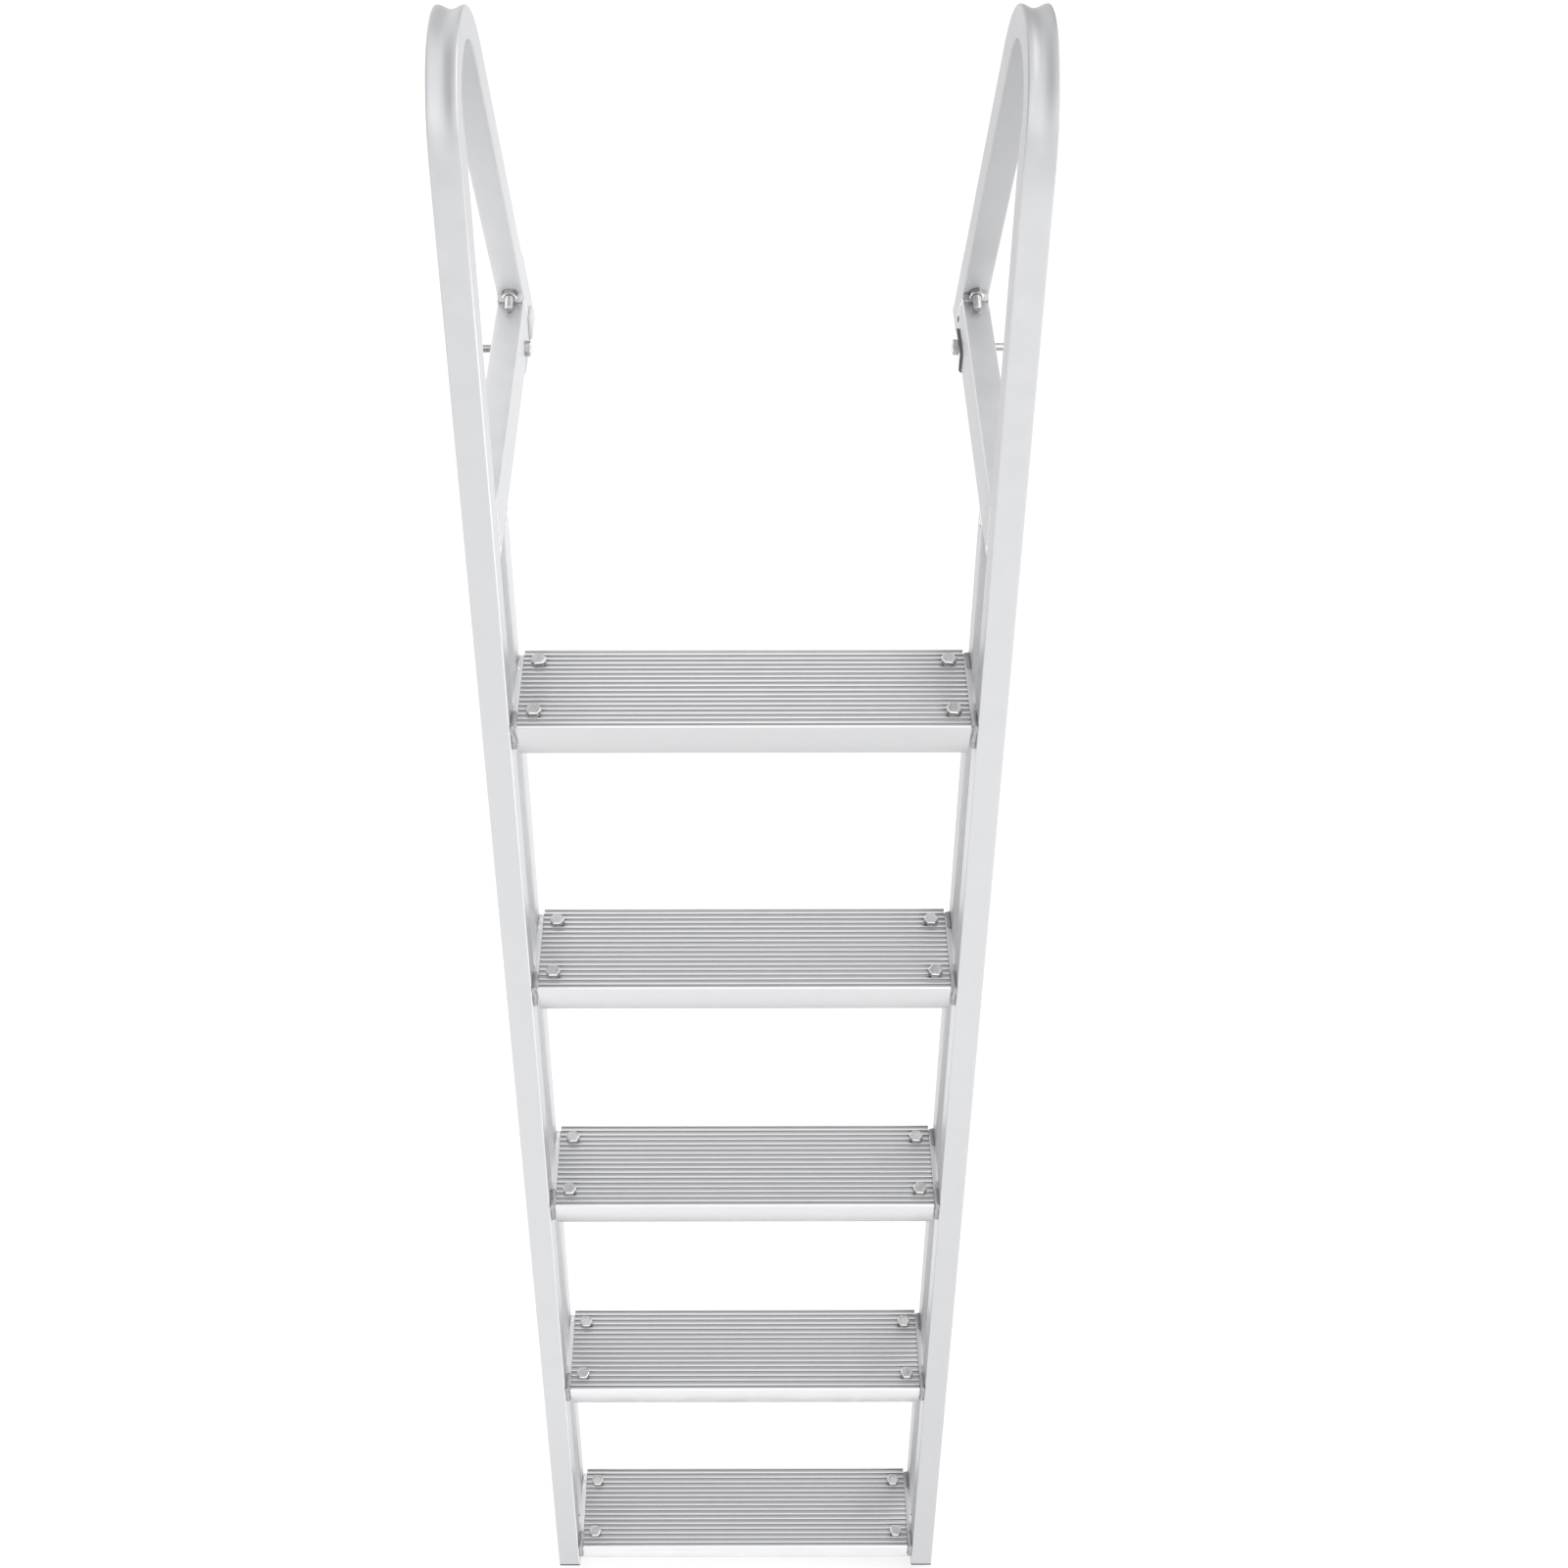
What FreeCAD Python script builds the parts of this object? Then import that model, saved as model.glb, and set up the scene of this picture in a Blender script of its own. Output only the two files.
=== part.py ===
import FreeCAD, Part
import math
import os

os.makedirs("parts", exist_ok=True)
V = FreeCAD.Vector

# ---------------------------------------------------------------- dimensions
# Millimetres. Working frame while modelling: X across the ladder (0 = middle),
# Y away from the climber, Z up, (0, 0) = front top edge of the top tread.
# Everything is shifted at the end so that the origin is on the left deck foot.

rail_tilt_deg = 13.0        # rails lean towards the dock at the top
tread_count = 5
tread_rise = 292.31         # level to level, 300 measured along the rail
tread_length = 400.0
tread_depth = 100.0

rail_inner_x = 205.8        # inner faces of both rails
tube_w = 25.0               # across the ladder
tube_d = 30.0               # front to rear
tube_wall = 2.0
tube_r = 1.5                # outside corner
tube_inner_r = 0.6          # inside corner
rail_gap = 40.0             # clear between front and rear rail

bend_r = 65.0               # centre line of the handrail bend
leg_tilt_deg = 25.0         # handrail leg leans the other way
leg_rear_y = 414.0          # a point on the leg's rear face
leg_rear_z = 187.0

arm_top = 188.5             # level arm between front rail and leg
arm_h = 50.0
rail_bottom_s = -1235.0     # square cut lower ends, measured along the rail
cap_t = 2.5
cap_insert = 14.0
cap_play = 0.3

rib_count = 16
rib_first = 6.5
rib_pitch = 5.83
rib_w = 2.0
groove = 1.8
plate_under = -5.0
apron_t = 3.0
apron_h = 33.0
nose_r = 1.6
nose_flat = 2.2

brk_t = 5.0                 # welded angle under each tread end: flange
brk_leaf_t = 5.6            # and leaf
brk_v_top = -1.0
brk_v_bottom = -29.0
brk_v_y0 = 1.5
brk_v_y1 = 93.8
brk_h_len = 33.4
brk_h_y0 = 4.5
brk_h_y1 = 92.5

bolt_d = 8.0
hole_d = 8.6
hex_af = 13.0
head_h = 5.3
nut_h = 6.5
bolt_x = 186.0
bolt_ys = (19.0, 83.0)

foot_t = 3.0                # deck bracket sheet
foot_y0 = 335.0
tab_top = 157.7
tab_y1 = 375.0
tab_bevel = 1.5
back_top = 226.0
screw_hole_d = 7.0
screw_ys = (362.0, 412.0)
arm_bolt_y = 354.5
arm_bolt_z = 150.5
arm_bolt_out = 20.0         # thread beyond the outer face of the arm
leg_bolt_z = 200.0          # where its axis meets the front face of the leg
leg_bolt_out = 18.5

# ---------------------------------------------------------------- frames
t = math.radians(rail_tilt_deg)
a = math.radians(leg_tilt_deg)
rail_u = V(0, math.sin(t), math.cos(t))      # up along the rail
rail_n = V(0, math.cos(t), -math.sin(t))     # rearwards, square to the rail
leg_d = V(0, math.sin(a), -math.cos(a))      # down along the leg
leg_n = V(0, math.cos(a), math.sin(a))       # rearwards and up, square to the leg
rail_mid_x = rail_inner_x + tube_w / 2.0


def section(cx, origin, n_dir, n0, n1, r, inset=0.0):
    """Rounded rectangle wire: X from cx +- tube_w/2, n_dir from n0 to n1."""
    x0, x1 = cx - tube_w / 2.0 + inset, cx + tube_w / 2.0 - inset
    m0, m1 = n0 + inset, n1 - inset
    k = r * (1.0 - math.sqrt(0.5))

    def p(x, m):
        return V(x, 0, 0) + origin + n_dir * m

    e = [Part.LineSegment(p(x0 + r, m0), p(x1 - r, m0)).toShape(),
         Part.Arc(p(x1 - r, m0), p(x1 - k, m0 + k), p(x1, m0 + r)).toShape(),
         Part.LineSegment(p(x1, m0 + r), p(x1, m1 - r)).toShape(),
         Part.Arc(p(x1, m1 - r), p(x1 - k, m1 - k), p(x1 - r, m1)).toShape(),
         Part.LineSegment(p(x1 - r, m1), p(x0 + r, m1)).toShape(),
         Part.Arc(p(x0 + r, m1), p(x0 + k, m1 - k), p(x0, m1 - r)).toShape(),
         Part.LineSegment(p(x0, m1 - r), p(x0, m0 + r)).toShape(),
         Part.Arc(p(x0, m0 + r), p(x0 + k, m0 + k), p(x0 + r, m0)).toShape()]
    return Part.Wire(e)


def tube_face(cx, origin, n_dir, n0, n1):
    outer = Part.Face(section(cx, origin, n_dir, n0, n1, tube_r))
    inner = Part.Face(section(cx, origin, n_dir, n0, n1, tube_inner_r, tube_wall))
    return outer.cut(inner).Faces[0]


def half_space(point, normal, size=3000.0):
    """Box that fills the side of a plane that normal points to."""
    n = V(normal).normalize()
    box = Part.makeBox(size, size, size, V(-size / 2.0, -size / 2.0, 0))
    rot = FreeCAD.Rotation(V(0, 0, 1), n)
    box.Placement = FreeCAD.Placement(point, rot)
    return box


def box(x0, x1, y0, y1, z0, z1):
    return Part.makeBox(x1 - x0, y1 - y0, z1 - z0, V(x0, y0, z0))


def hexagon(center, axis, af, height, turn_deg=0.0):
    """Hexagonal prism standing on center along axis, with a chamfered top."""
    ax = V(axis).normalize()
    ref = V(1, 0, 0) if abs(ax.x) < 0.9 else V(0, 1, 0)
    u = (ref - ax * ref.dot(ax)).normalize()
    w = ax.cross(u)
    rc = af / math.sqrt(3.0)
    pts = []
    for i in range(6):
        ang = math.radians(turn_deg + 60.0 * i)
        pts.append(center + u * (rc * math.cos(ang)) + w * (rc * math.sin(ang)))
    pts.append(pts[0])
    prism = Part.Face(Part.makePolygon(pts)).extrude(ax * height)
    cone = Part.makeCone(af / 2.0 * 0.95 + (height - 0.0) * 1.732,
                         af / 2.0 * 0.95, height, center, ax)
    return prism.common(cone)


# ---------------------------------------------------------------- handrail line
# bend centre: bend_r from the centre lines of rail and leg
rail_c = rail_n * (tube_d / 2.0)                       # a point on the rail axis
leg_rear_p = V(0, leg_rear_y, leg_rear_z)
leg_c = leg_rear_p - leg_n * (tube_d / 2.0)            # a point on the leg axis
# centre = rail_c + rail_u*s + rail_n*bend_r = leg_c - leg_d*q - leg_n*bend_r
rhs = (leg_c - leg_n * bend_r) - (rail_c + rail_n * bend_r)
det = rail_u.y * leg_d.z - rail_u.z * leg_d.y
s_bend = (rhs.y * leg_d.z - rhs.z * leg_d.y) / det
bend_c = rail_c + rail_n * bend_r + rail_u * s_bend
bend_deg = 180.0 - rail_tilt_deg - leg_tilt_deg
leg_start = bend_c + leg_n * bend_r                    # leg axis at the bend's end

arm_bottom = arm_top - arm_h


def leg_front_y(z):
    return leg_rear_y + (leg_rear_z - z) * math.tan(a) - tube_d / math.cos(a)


def handrail(cx):
    """Front rail, bend and leg; the leg stands on the foot of its bracket."""
    f = tube_face(cx, rail_u * rail_bottom_s, rail_n, 0.0, tube_d)
    straight = f.extrude(rail_u * (s_bend - rail_bottom_s))
    fb = tube_face(cx, rail_u * s_bend, rail_n, 0.0, tube_d)
    bend = fb.revolve(bend_c, V(1, 0, 0), -bend_deg)
    fl = tube_face(cx, leg_start, leg_n, -tube_d / 2.0, tube_d / 2.0)
    leg = fl.extrude(leg_d * 600.0)
    leg = leg.cut(half_space(V(0, 0, arm_bottom), V(0, 0, -1)))
    return straight.fuse([bend, leg]).removeSplitter()


def rear_rail(cx):
    n0 = tube_d + rail_gap
    f = tube_face(cx, rail_u * rail_bottom_s, rail_n, n0, n0 + tube_d)
    r = f.extrude(rail_u * (400.0 - rail_bottom_s))
    return r.cut(half_space(V(0, 0, arm_bottom), V(0, 0, 1)))


def deck_arm(cx):
    """Level tube, butts on the front rail in front and on the leg behind."""
    o = Part.Face(section(cx, V(0, -40.0, arm_top), V(0, 0, -1), 0.0, arm_h, tube_r))
    i = Part.Face(section(cx, V(0, -40.0, arm_top), V(0, 0, -1), 0.0, arm_h,
                          tube_inner_r, tube_wall))
    s = o.cut(i).Faces[0].extrude(V(0, 600.0, 0))
    s = s.cut(half_space(rail_n * tube_d, rail_n * -1.0))
    s = s.cut(half_space(V(0, leg_front_y(arm_top), arm_top), leg_n))
    return s


def end_cap(cx, n0):
    """Plug in a rail's lower end: plate under the cut edge and an insert."""
    plate = Part.Face(section(cx, rail_u * (rail_bottom_s - cap_t), rail_n, n0,
                              n0 + tube_d, tube_r - 0.2)).extrude(rail_u * cap_t)
    plug = Part.Face(section(cx, rail_u * (rail_bottom_s - 1.0), rail_n, n0, n0 + tube_d,
                             0.8, tube_wall + cap_play)).extrude(rail_u * (cap_insert + 1.0))
    return plate.fuse(plug).removeSplitter()


def tread():
    """Ribbed channel extrusion, top of the ribs at Z 0, front at Y 0."""
    L = tread_length / 2.0
    d = tread_depth
    # top line, front to rear
    pts = [(0.0, -nose_r)]
    for i in range(1, 5):
        ang = math.radians(90.0 * i / 4.0)
        pts.append((nose_r - nose_r * math.cos(ang), -nose_r + nose_r * math.sin(ang)))
    pts += [(nose_flat, 0.0), (nose_flat + 0.35, -groove)]
    for j in range(rib_count):
        c = rib_first + rib_pitch * j
        y0, y1 = c - rib_w / 2.0, c + rib_w / 2.0
        pts += [(y0 - 0.35, -groove), (y0, 0.0)]
        if j < rib_count - 1:
            pts += [(y1, 0.0), (y1 + 0.35, -groove)]
    pts += [(d, 0.0), (d, -apron_h), (d - apron_t, -apron_h),
            (d - apron_t, plate_under), (apron_t, plate_under),
            (apron_t, -apron_h + 1.0), (apron_t - 1.0, -apron_h),
            (1.0, -apron_h), (0.0, -apron_h + 1.0)]
    vs = [V(-L, y, z) for y, z in pts]
    vs.append(vs[0])
    s = Part.Face(Part.makePolygon(vs)).extrude(V(2 * L, 0, 0))
    for sx in (-1, 1):
        for y in bolt_ys:
            s = s.cut(Part.makeCylinder(hole_d / 2.0, 30.0, V(sx * bolt_x, y, -20.0)))
    return s


def tread_bracket(sx):
    """Angle welded to the inner faces of one side's rails."""
    xo = rail_inner_x
    xi = rail_inner_x - brk_leaf_t
    xe = xi - brk_h_len
    v = box(xi, xo, brk_v_y0, brk_v_y1, brk_v_bottom, brk_v_top)
    low = [e for e in v.Edges
           if abs(e.Vertexes[0].X - e.Vertexes[1].X) > 1.0
           and e.Vertexes[0].Z < brk_v_bottom + 0.1 and e.Vertexes[1].Z < brk_v_bottom + 0.1]
    v = v.makeFillet(5.0, low)
    h = box(xe, xi, brk_h_y0, brk_h_y1, plate_under - brk_t, plate_under)
    s = v.fuse(h).removeSplitter()
    for y in bolt_ys:
        s = s.cut(Part.makeCylinder(hole_d / 2.0, 30.0, V(bolt_x, y, -20.0)))
    if sx < 0:
        s = s.mirror(V(0, 0, 0), V(1, 0, 0))
    return s


def tread_bolts():
    out = []
    for i, y in enumerate(bolt_ys):
        c = V(bolt_x, y, 0)
        head = hexagon(c, V(0, 0, 1), hex_af, head_h, 8.0 - 3.0 * i)
        shank = Part.makeCylinder(bolt_d / 2.0, 20.0, V(bolt_x, y, -20.0))
        under = plate_under - brk_t
        nut = hexagon(V(bolt_x, y, under), V(0, 0, -1), hex_af, nut_h, 20.0)
        bolt = head.fuse([shank, nut]).removeSplitter()
        out += [bolt, bolt.mirror(V(0, 0, 0), V(1, 0, 0))]
    return Part.makeCompound(out)


def dock_bracket(sx):
    """Sheet cradle under the knee: foot, side tab, back plate."""
    x0 = rail_inner_x
    x1 = rail_inner_x + tube_w
    zf = arm_bottom - foot_t
    # back plate lies on the rear face of the leg
    def rear(z, off):
        return leg_rear_y + (leg_rear_z - z) * math.tan(a) + off / math.cos(a)
    yb0, yb1 = rear(arm_bottom, 0.0), rear(arm_bottom, foot_t)
    back = Part.Face(Part.makePolygon([
        V(x0, rear(arm_bottom, 0), arm_bottom), V(x0, rear(arm_bottom, foot_t), arm_bottom),
        V(x0, rear(back_top, foot_t), back_top), V(x0, rear(back_top, 0), back_top),
        V(x0, rear(arm_bottom, 0), arm_bottom)])).extrude(V(x1 - x0, 0, 0))
    foot = box(x0, x1, foot_y0, yb1, zf, arm_bottom)
    tab = Part.Face(Part.makePolygon([
        V(x0 - foot_t, foot_y0, zf), V(x0 - foot_t, foot_y0, tab_top - tab_bevel),
        V(x0 - foot_t, foot_y0 + tab_bevel, tab_top),
        V(x0 - foot_t, tab_y1, tab_top), V(x0 - foot_t, tab_y1, zf),
        V(x0 - foot_t, foot_y0, zf)])).extrude(V(foot_t, 0, 0))
    s = foot.fuse([back, tab]).removeSplitter()
    for y in screw_ys:
        s = s.cut(Part.makeCylinder(screw_hole_d / 2.0, 20.0, V(x0 + tube_w / 2.0, y, zf - 5.0)))
    s = s.cut(Part.makeCylinder(hole_d / 2.0, 40.0, V(x0 - 20.0, arm_bolt_y, arm_bolt_z), V(1, 0, 0)))
    p = V(x0 + tube_w / 2.0, leg_front_y(leg_bolt_z), leg_bolt_z)
    s = s.cut(Part.makeCylinder(hole_d / 2.0, 80.0, p - leg_n * 10.0, leg_n))
    if sx < 0:
        s = s.mirror(V(0, 0, 0), V(1, 0, 0))
    return s


def arm_bolt(sx):
    """Through the arm: head on the inner tab, nut and bare thread outside."""
    xi = rail_inner_x - foot_t
    c = V(xi, arm_bolt_y, arm_bolt_z)
    head = hexagon(c, V(-1, 0, 0), hex_af, head_h, 12.0)
    shank = Part.makeCylinder(bolt_d / 2.0, foot_t + tube_w + arm_bolt_out, c, V(1, 0, 0))
    nut = hexagon(V(rail_inner_x + tube_w, arm_bolt_y, arm_bolt_z), V(1, 0, 0),
                  hex_af, nut_h, 12.0)
    s = head.fuse([shank, nut]).removeSplitter()
    if sx < 0:
        s = s.mirror(V(0, 0, 0), V(1, 0, 0))
    return s


def leg_bolt(sx):
    p = V(rail_mid_x, leg_front_y(leg_bolt_z), leg_bolt_z)
    rear = p + leg_n * (tube_d + foot_t)
    nut = hexagon(p, leg_n * -1.0, hex_af, nut_h, 30.0)
    head = hexagon(rear, leg_n, hex_af, head_h, 10.0)
    shank = Part.makeCylinder(bolt_d / 2.0, tube_d + foot_t + leg_bolt_out,
                              p - leg_n * leg_bolt_out, leg_n)
    s = shank.fuse([nut, head]).removeSplitter()
    if sx < 0:
        s = s.mirror(V(0, 0, 0), V(1, 0, 0))
    return s


def drill_arm(shape):
    """Clearance hole for the arm bolt, right-hand side."""
    c = V(rail_inner_x - 20.0, arm_bolt_y, arm_bolt_z)
    return shape.cut(Part.makeCylinder(hole_d / 2.0, 80.0, c, V(1, 0, 0)))


def drill_leg(shape):
    """Clearance hole for the leg bolt through both walls of the leg."""
    p = V(rail_mid_x, leg_front_y(leg_bolt_z), leg_bolt_z)
    return shape.cut(Part.makeCylinder(hole_d / 2.0, tube_d + 2.0, p - leg_n, leg_n))


# ---------------------------------------------------------------- assembly
nodes = {}
right_handrail = drill_leg(handrail(rail_mid_x))
right_rear = rear_rail(rail_mid_x)
right_arm = drill_arm(deck_arm(rail_mid_x))


def mirrored(s):
    return s.mirror(V(0, 0, 0), V(1, 0, 0))


nodes["right_handrail"] = right_handrail
nodes["left_handrail"] = mirrored(right_handrail)
nodes["right_rear_rail"] = right_rear
nodes["left_rear_rail"] = mirrored(right_rear)
nodes["right_deck_arm"] = right_arm
nodes["left_deck_arm"] = mirrored(right_arm)
for side, sx in (("left", -1), ("right", 1)):
    nodes[side + "_dock_bracket"] = dock_bracket(sx)
    nodes[side + "_arm_bolt"] = arm_bolt(sx)
    nodes[side + "_leg_bolt"] = leg_bolt(sx)
    cx = sx * rail_mid_x
    nodes[side + "_front_end_cap"] = end_cap(cx, 0.0)
    nodes[side + "_rear_end_cap"] = end_cap(cx, tube_d + rail_gap)

base_tread = tread()
base_bolts = tread_bolts()
for k in range(tread_count):
    dz = -tread_rise * k
    move = V(0, dz * math.tan(t), dz)
    n = str(k + 1)
    s = base_tread.copy()
    s.translate(move)
    nodes["tread_" + n] = s
    s = base_bolts.copy()
    s.translate(move)
    nodes["tread_bolts_" + n] = s
    for side, sx in (("left", -1), ("right", 1)):
        s = tread_bracket(sx)
        s.translate(move)
        nodes[side + "_tread_bracket_" + n] = s

# origin: middle of the left deck foot's underside
origin = V(-rail_mid_x, (screw_ys[0] + screw_ys[1]) / 2.0, arm_bottom - foot_t)

whole = None
for name in sorted(nodes):
    s = nodes[name]
    s.translate(V(0, 0, 0) - origin)
    s.exportStep("parts/" + name + ".step")
    bb = s.BoundBox
    print("%-26s valid %s solids %d vol %.0f  X %.1f..%.1f Y %.1f..%.1f Z %.1f..%.1f" % (
        name, s.isValid(), len(s.Solids), s.Volume,
        bb.XMin, bb.XMax, bb.YMin, bb.YMax, bb.ZMin, bb.ZMax))
print("nodes", len(nodes))
print("bend centre", bend_c, "bend start s", s_bend, "origin", origin)
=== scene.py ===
import bpy
import bmesh
import math
from mathutils import Vector, Matrix


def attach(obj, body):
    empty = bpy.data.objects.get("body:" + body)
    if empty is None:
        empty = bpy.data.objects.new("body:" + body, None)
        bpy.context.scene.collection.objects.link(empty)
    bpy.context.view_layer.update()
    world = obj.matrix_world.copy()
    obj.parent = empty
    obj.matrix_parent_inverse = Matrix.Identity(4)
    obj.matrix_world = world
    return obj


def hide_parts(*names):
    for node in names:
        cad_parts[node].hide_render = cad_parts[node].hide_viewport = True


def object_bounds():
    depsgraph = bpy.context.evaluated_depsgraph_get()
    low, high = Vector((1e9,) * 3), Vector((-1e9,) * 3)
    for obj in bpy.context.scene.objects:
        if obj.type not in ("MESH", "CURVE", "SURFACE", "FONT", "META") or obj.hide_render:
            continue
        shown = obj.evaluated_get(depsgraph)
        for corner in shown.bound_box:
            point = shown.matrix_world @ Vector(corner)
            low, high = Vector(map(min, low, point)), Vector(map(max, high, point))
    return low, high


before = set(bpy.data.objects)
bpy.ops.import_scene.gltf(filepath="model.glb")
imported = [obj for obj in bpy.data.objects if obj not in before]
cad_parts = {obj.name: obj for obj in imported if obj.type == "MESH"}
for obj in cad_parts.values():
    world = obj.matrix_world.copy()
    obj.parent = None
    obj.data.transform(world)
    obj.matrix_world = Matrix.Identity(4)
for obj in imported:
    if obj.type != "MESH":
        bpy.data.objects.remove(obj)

cad_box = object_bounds()

# ------------------------------------------------------------ camera
# the photograph's viewing angle
cam_data = bpy.data.cameras.new("camera")
cam = bpy.data.objects.new("camera", cam_data)
bpy.context.scene.collection.objects.link(cam)
cam_data.sensor_width = 36.0
cam_data.lens = 43.878
cam_data.shift_x = 0.0254
cam_data.clip_end = 50.0
cam.matrix_world = (Matrix.Translation((0.2185, -1.5611, 1.06586))
                    @ Matrix.Rotation(math.radians(90.0 - 47.3528), 4, "X")
                    @ Matrix.Rotation(math.radians(-0.1014), 4, "Z"))
bpy.context.scene.camera = cam

# ------------------------------------------------------------ dimensions, mm
# X across (0 = middle of the ladder), Y away from the climber, Z up,
# (0, 0) = front top edge of the top tread
OX, OY, OZ = -218.3, 387.0, 135.5
T = math.radians(13.0)
A = math.radians(25.0)
XI, XO = 205.8, 230.8
XM = (XI + XO) / 2.0
DEPTH = 30.0
WALL = 2.0
GAP = 40.0
S0 = -1235.0
S_BEND = 505.473
BEND_R = 65.0
BEND_C = (191.6563, 474.5216)
BEND_DEG = 142.0
ARM_TOP, ARM_BOT = 188.5, 138.5
FOOT_T = 3.0
RISE = 292.31
U = (math.sin(T), math.cos(T))
N = (math.cos(T), -math.sin(T))
LD = (math.sin(A), -math.cos(A))
LN = (math.cos(A), math.sin(A))


def leg_front_y(z):
    return 414.0 + (187.0 - z) * math.tan(A) - DEPTH / math.cos(A)


def W(p):
    return ((p[0] - OX) / 1000.0, (p[1] - OY) / 1000.0, (p[2] - OZ) / 1000.0)


def smooth(x):
    x = min(1.0, max(0.0, x))
    return x * x * (3.0 - 2.0 * x)


def hash1(n):
    """A repeatable number from 0 to 1."""
    v = math.sin(n * 12.9898 + 4.1414) * 43758.5453
    return v - math.floor(v)


# ------------------------------------------------------------ materials
def nodes_of(name):
    m = bpy.data.materials.new(name)
    m.use_nodes = True
    nt = m.node_tree
    return m, nt, nt.nodes["Principled BSDF"]


def add_noise(nt, coord, scale, detail=3.0, rough=0.55, stretch=(1, 1, 1), kind="Object"):
    mp = nt.nodes.new("ShaderNodeMapping")
    mp.inputs["Scale"].default_value = stretch
    nt.links.new(coord.outputs[kind], mp.inputs["Vector"])
    n = nt.nodes.new("ShaderNodeTexNoise")
    n.inputs["Scale"].default_value = scale
    n.inputs["Detail"].default_value = detail
    n.inputs["Roughness"].default_value = rough
    nt.links.new(mp.outputs["Vector"], n.inputs["Vector"])
    return n


def ramp(nt, src, lo, hi, a, b):
    r = nt.nodes.new("ShaderNodeMapRange")
    r.inputs["From Min"].default_value = lo
    r.inputs["From Max"].default_value = hi
    r.inputs["To Min"].default_value = a
    r.inputs["To Max"].default_value = b
    nt.links.new(src, r.inputs["Value"])
    return r.outputs["Result"]


def mixc(nt, fac, a, b):
    m = nt.nodes.new("ShaderNodeMix")
    m.data_type = "RGBA"
    if isinstance(fac, float):
        m.inputs[0].default_value = fac
    else:
        nt.links.new(fac, m.inputs[0])
    for sock, v in ((m.inputs[6], a), (m.inputs[7], b)):
        if isinstance(v, tuple):
            sock.default_value = (v[0], v[1], v[2], 1.0)
        else:
            nt.links.new(v, sock)
    return m.outputs[2]


def math_node(nt, op, a, b):
    m = nt.nodes.new("ShaderNodeMath")
    m.operation = op
    for sock, v in ((m.inputs[0], a), (m.inputs[1], b)):
        if isinstance(v, (int, float)):
            sock.default_value = v
        else:
            nt.links.new(v, sock)
    return m.outputs[0]


def metal(name, light, dark, rough, spread=0.05, grain=900.0, grain_bump=0.10,
          lines=(1.0, 1.0, 0.02), line_scale=900.0, line_bump=0.05, mottle=38.0,
          speck=0.35, wear=0.0, height=(), along=(), metallic=1.0):
    """Satin metal: blasted grain, drawing lines, cloudy tone and rubbed patches. The height and along ramps multiply
    the colour along Z and along Y; the materials below use them for painted light and shade.
    """
    m, nt, b = nodes_of(name)
    co = nt.nodes.new("ShaderNodeTexCoord")
    cloud = add_noise(nt, co, mottle, 4.0, 0.6)
    fine = add_noise(nt, co, grain, 2.0, 0.6)
    line = add_noise(nt, co, line_scale, 3.0, 0.65, lines)
    tone = math_node(nt, "ADD", ramp(nt, cloud.outputs["Fac"], 0.3, 0.7, 0.0, 0.8 - speck),
                     ramp(nt, line.outputs["Fac"], 0.25, 0.75, 0.0, 0.2))
    tone = math_node(nt, "ADD", tone, ramp(nt, fine.outputs["Fac"], 0.3, 0.7, 0.0, speck))
    col = mixc(nt, tone, dark, light)
    if wear > 0.0:
        scuff = add_noise(nt, co, 210.0, 6.0, 0.75, (1.0, 1.0, 0.25))
        f = ramp(nt, scuff.outputs["Fac"], 0.62, 0.74, 0.0, wear)
        col = mixc(nt, f, col, (min(1.0, light[0] * 1.06), min(1.0, light[1] * 1.06),
                                min(1.0, light[2] * 1.06)))
    for axis, (z0, z1, f0, f1) in [("Z", q) for q in height] + [("Y", q) for q in along]:
        sz = nt.nodes.new("ShaderNodeSeparateXYZ")
        nt.links.new(co.outputs["Object"], sz.inputs["Vector"])
        hf = ramp(nt, sz.outputs[axis], z0, z1, 0.0, 1.0)
        deep = nt.nodes.new("ShaderNodeMix")
        deep.data_type = "RGBA"
        deep.blend_type = "MULTIPLY"
        deep.inputs[0].default_value = 1.0
        nt.links.new(col, deep.inputs[6])
        nt.links.new(mixc(nt, hf, (f0, f0, f0), (f1, f1, f1)), deep.inputs[7])
        col = deep.outputs[2]
    nt.links.new(col, b.inputs["Base Color"])
    r1 = ramp(nt, cloud.outputs["Fac"], 0.3, 0.7, rough - spread, rough + spread)
    r2 = ramp(nt, fine.outputs["Fac"], 0.3, 0.7, -0.03, 0.03)
    nt.links.new(math_node(nt, "ADD", r1, r2), b.inputs["Roughness"])
    b.inputs["Metallic"].default_value = metallic
    bp = nt.nodes.new("ShaderNodeBump")
    bp.inputs["Strength"].default_value = grain_bump
    bp.inputs["Distance"].default_value = 0.0002
    nt.links.new(fine.outputs["Fac"], bp.inputs["Height"])
    bp2 = nt.nodes.new("ShaderNodeBump")
    bp2.inputs["Strength"].default_value = line_bump
    bp2.inputs["Distance"].default_value = 0.0002
    nt.links.new(line.outputs["Fac"], bp2.inputs["Height"])
    nt.links.new(bp.outputs["Normal"], bp2.inputs["Normal"])
    nt.links.new(bp2.outputs["Normal"], b.inputs["Normal"])
    return m


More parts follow.
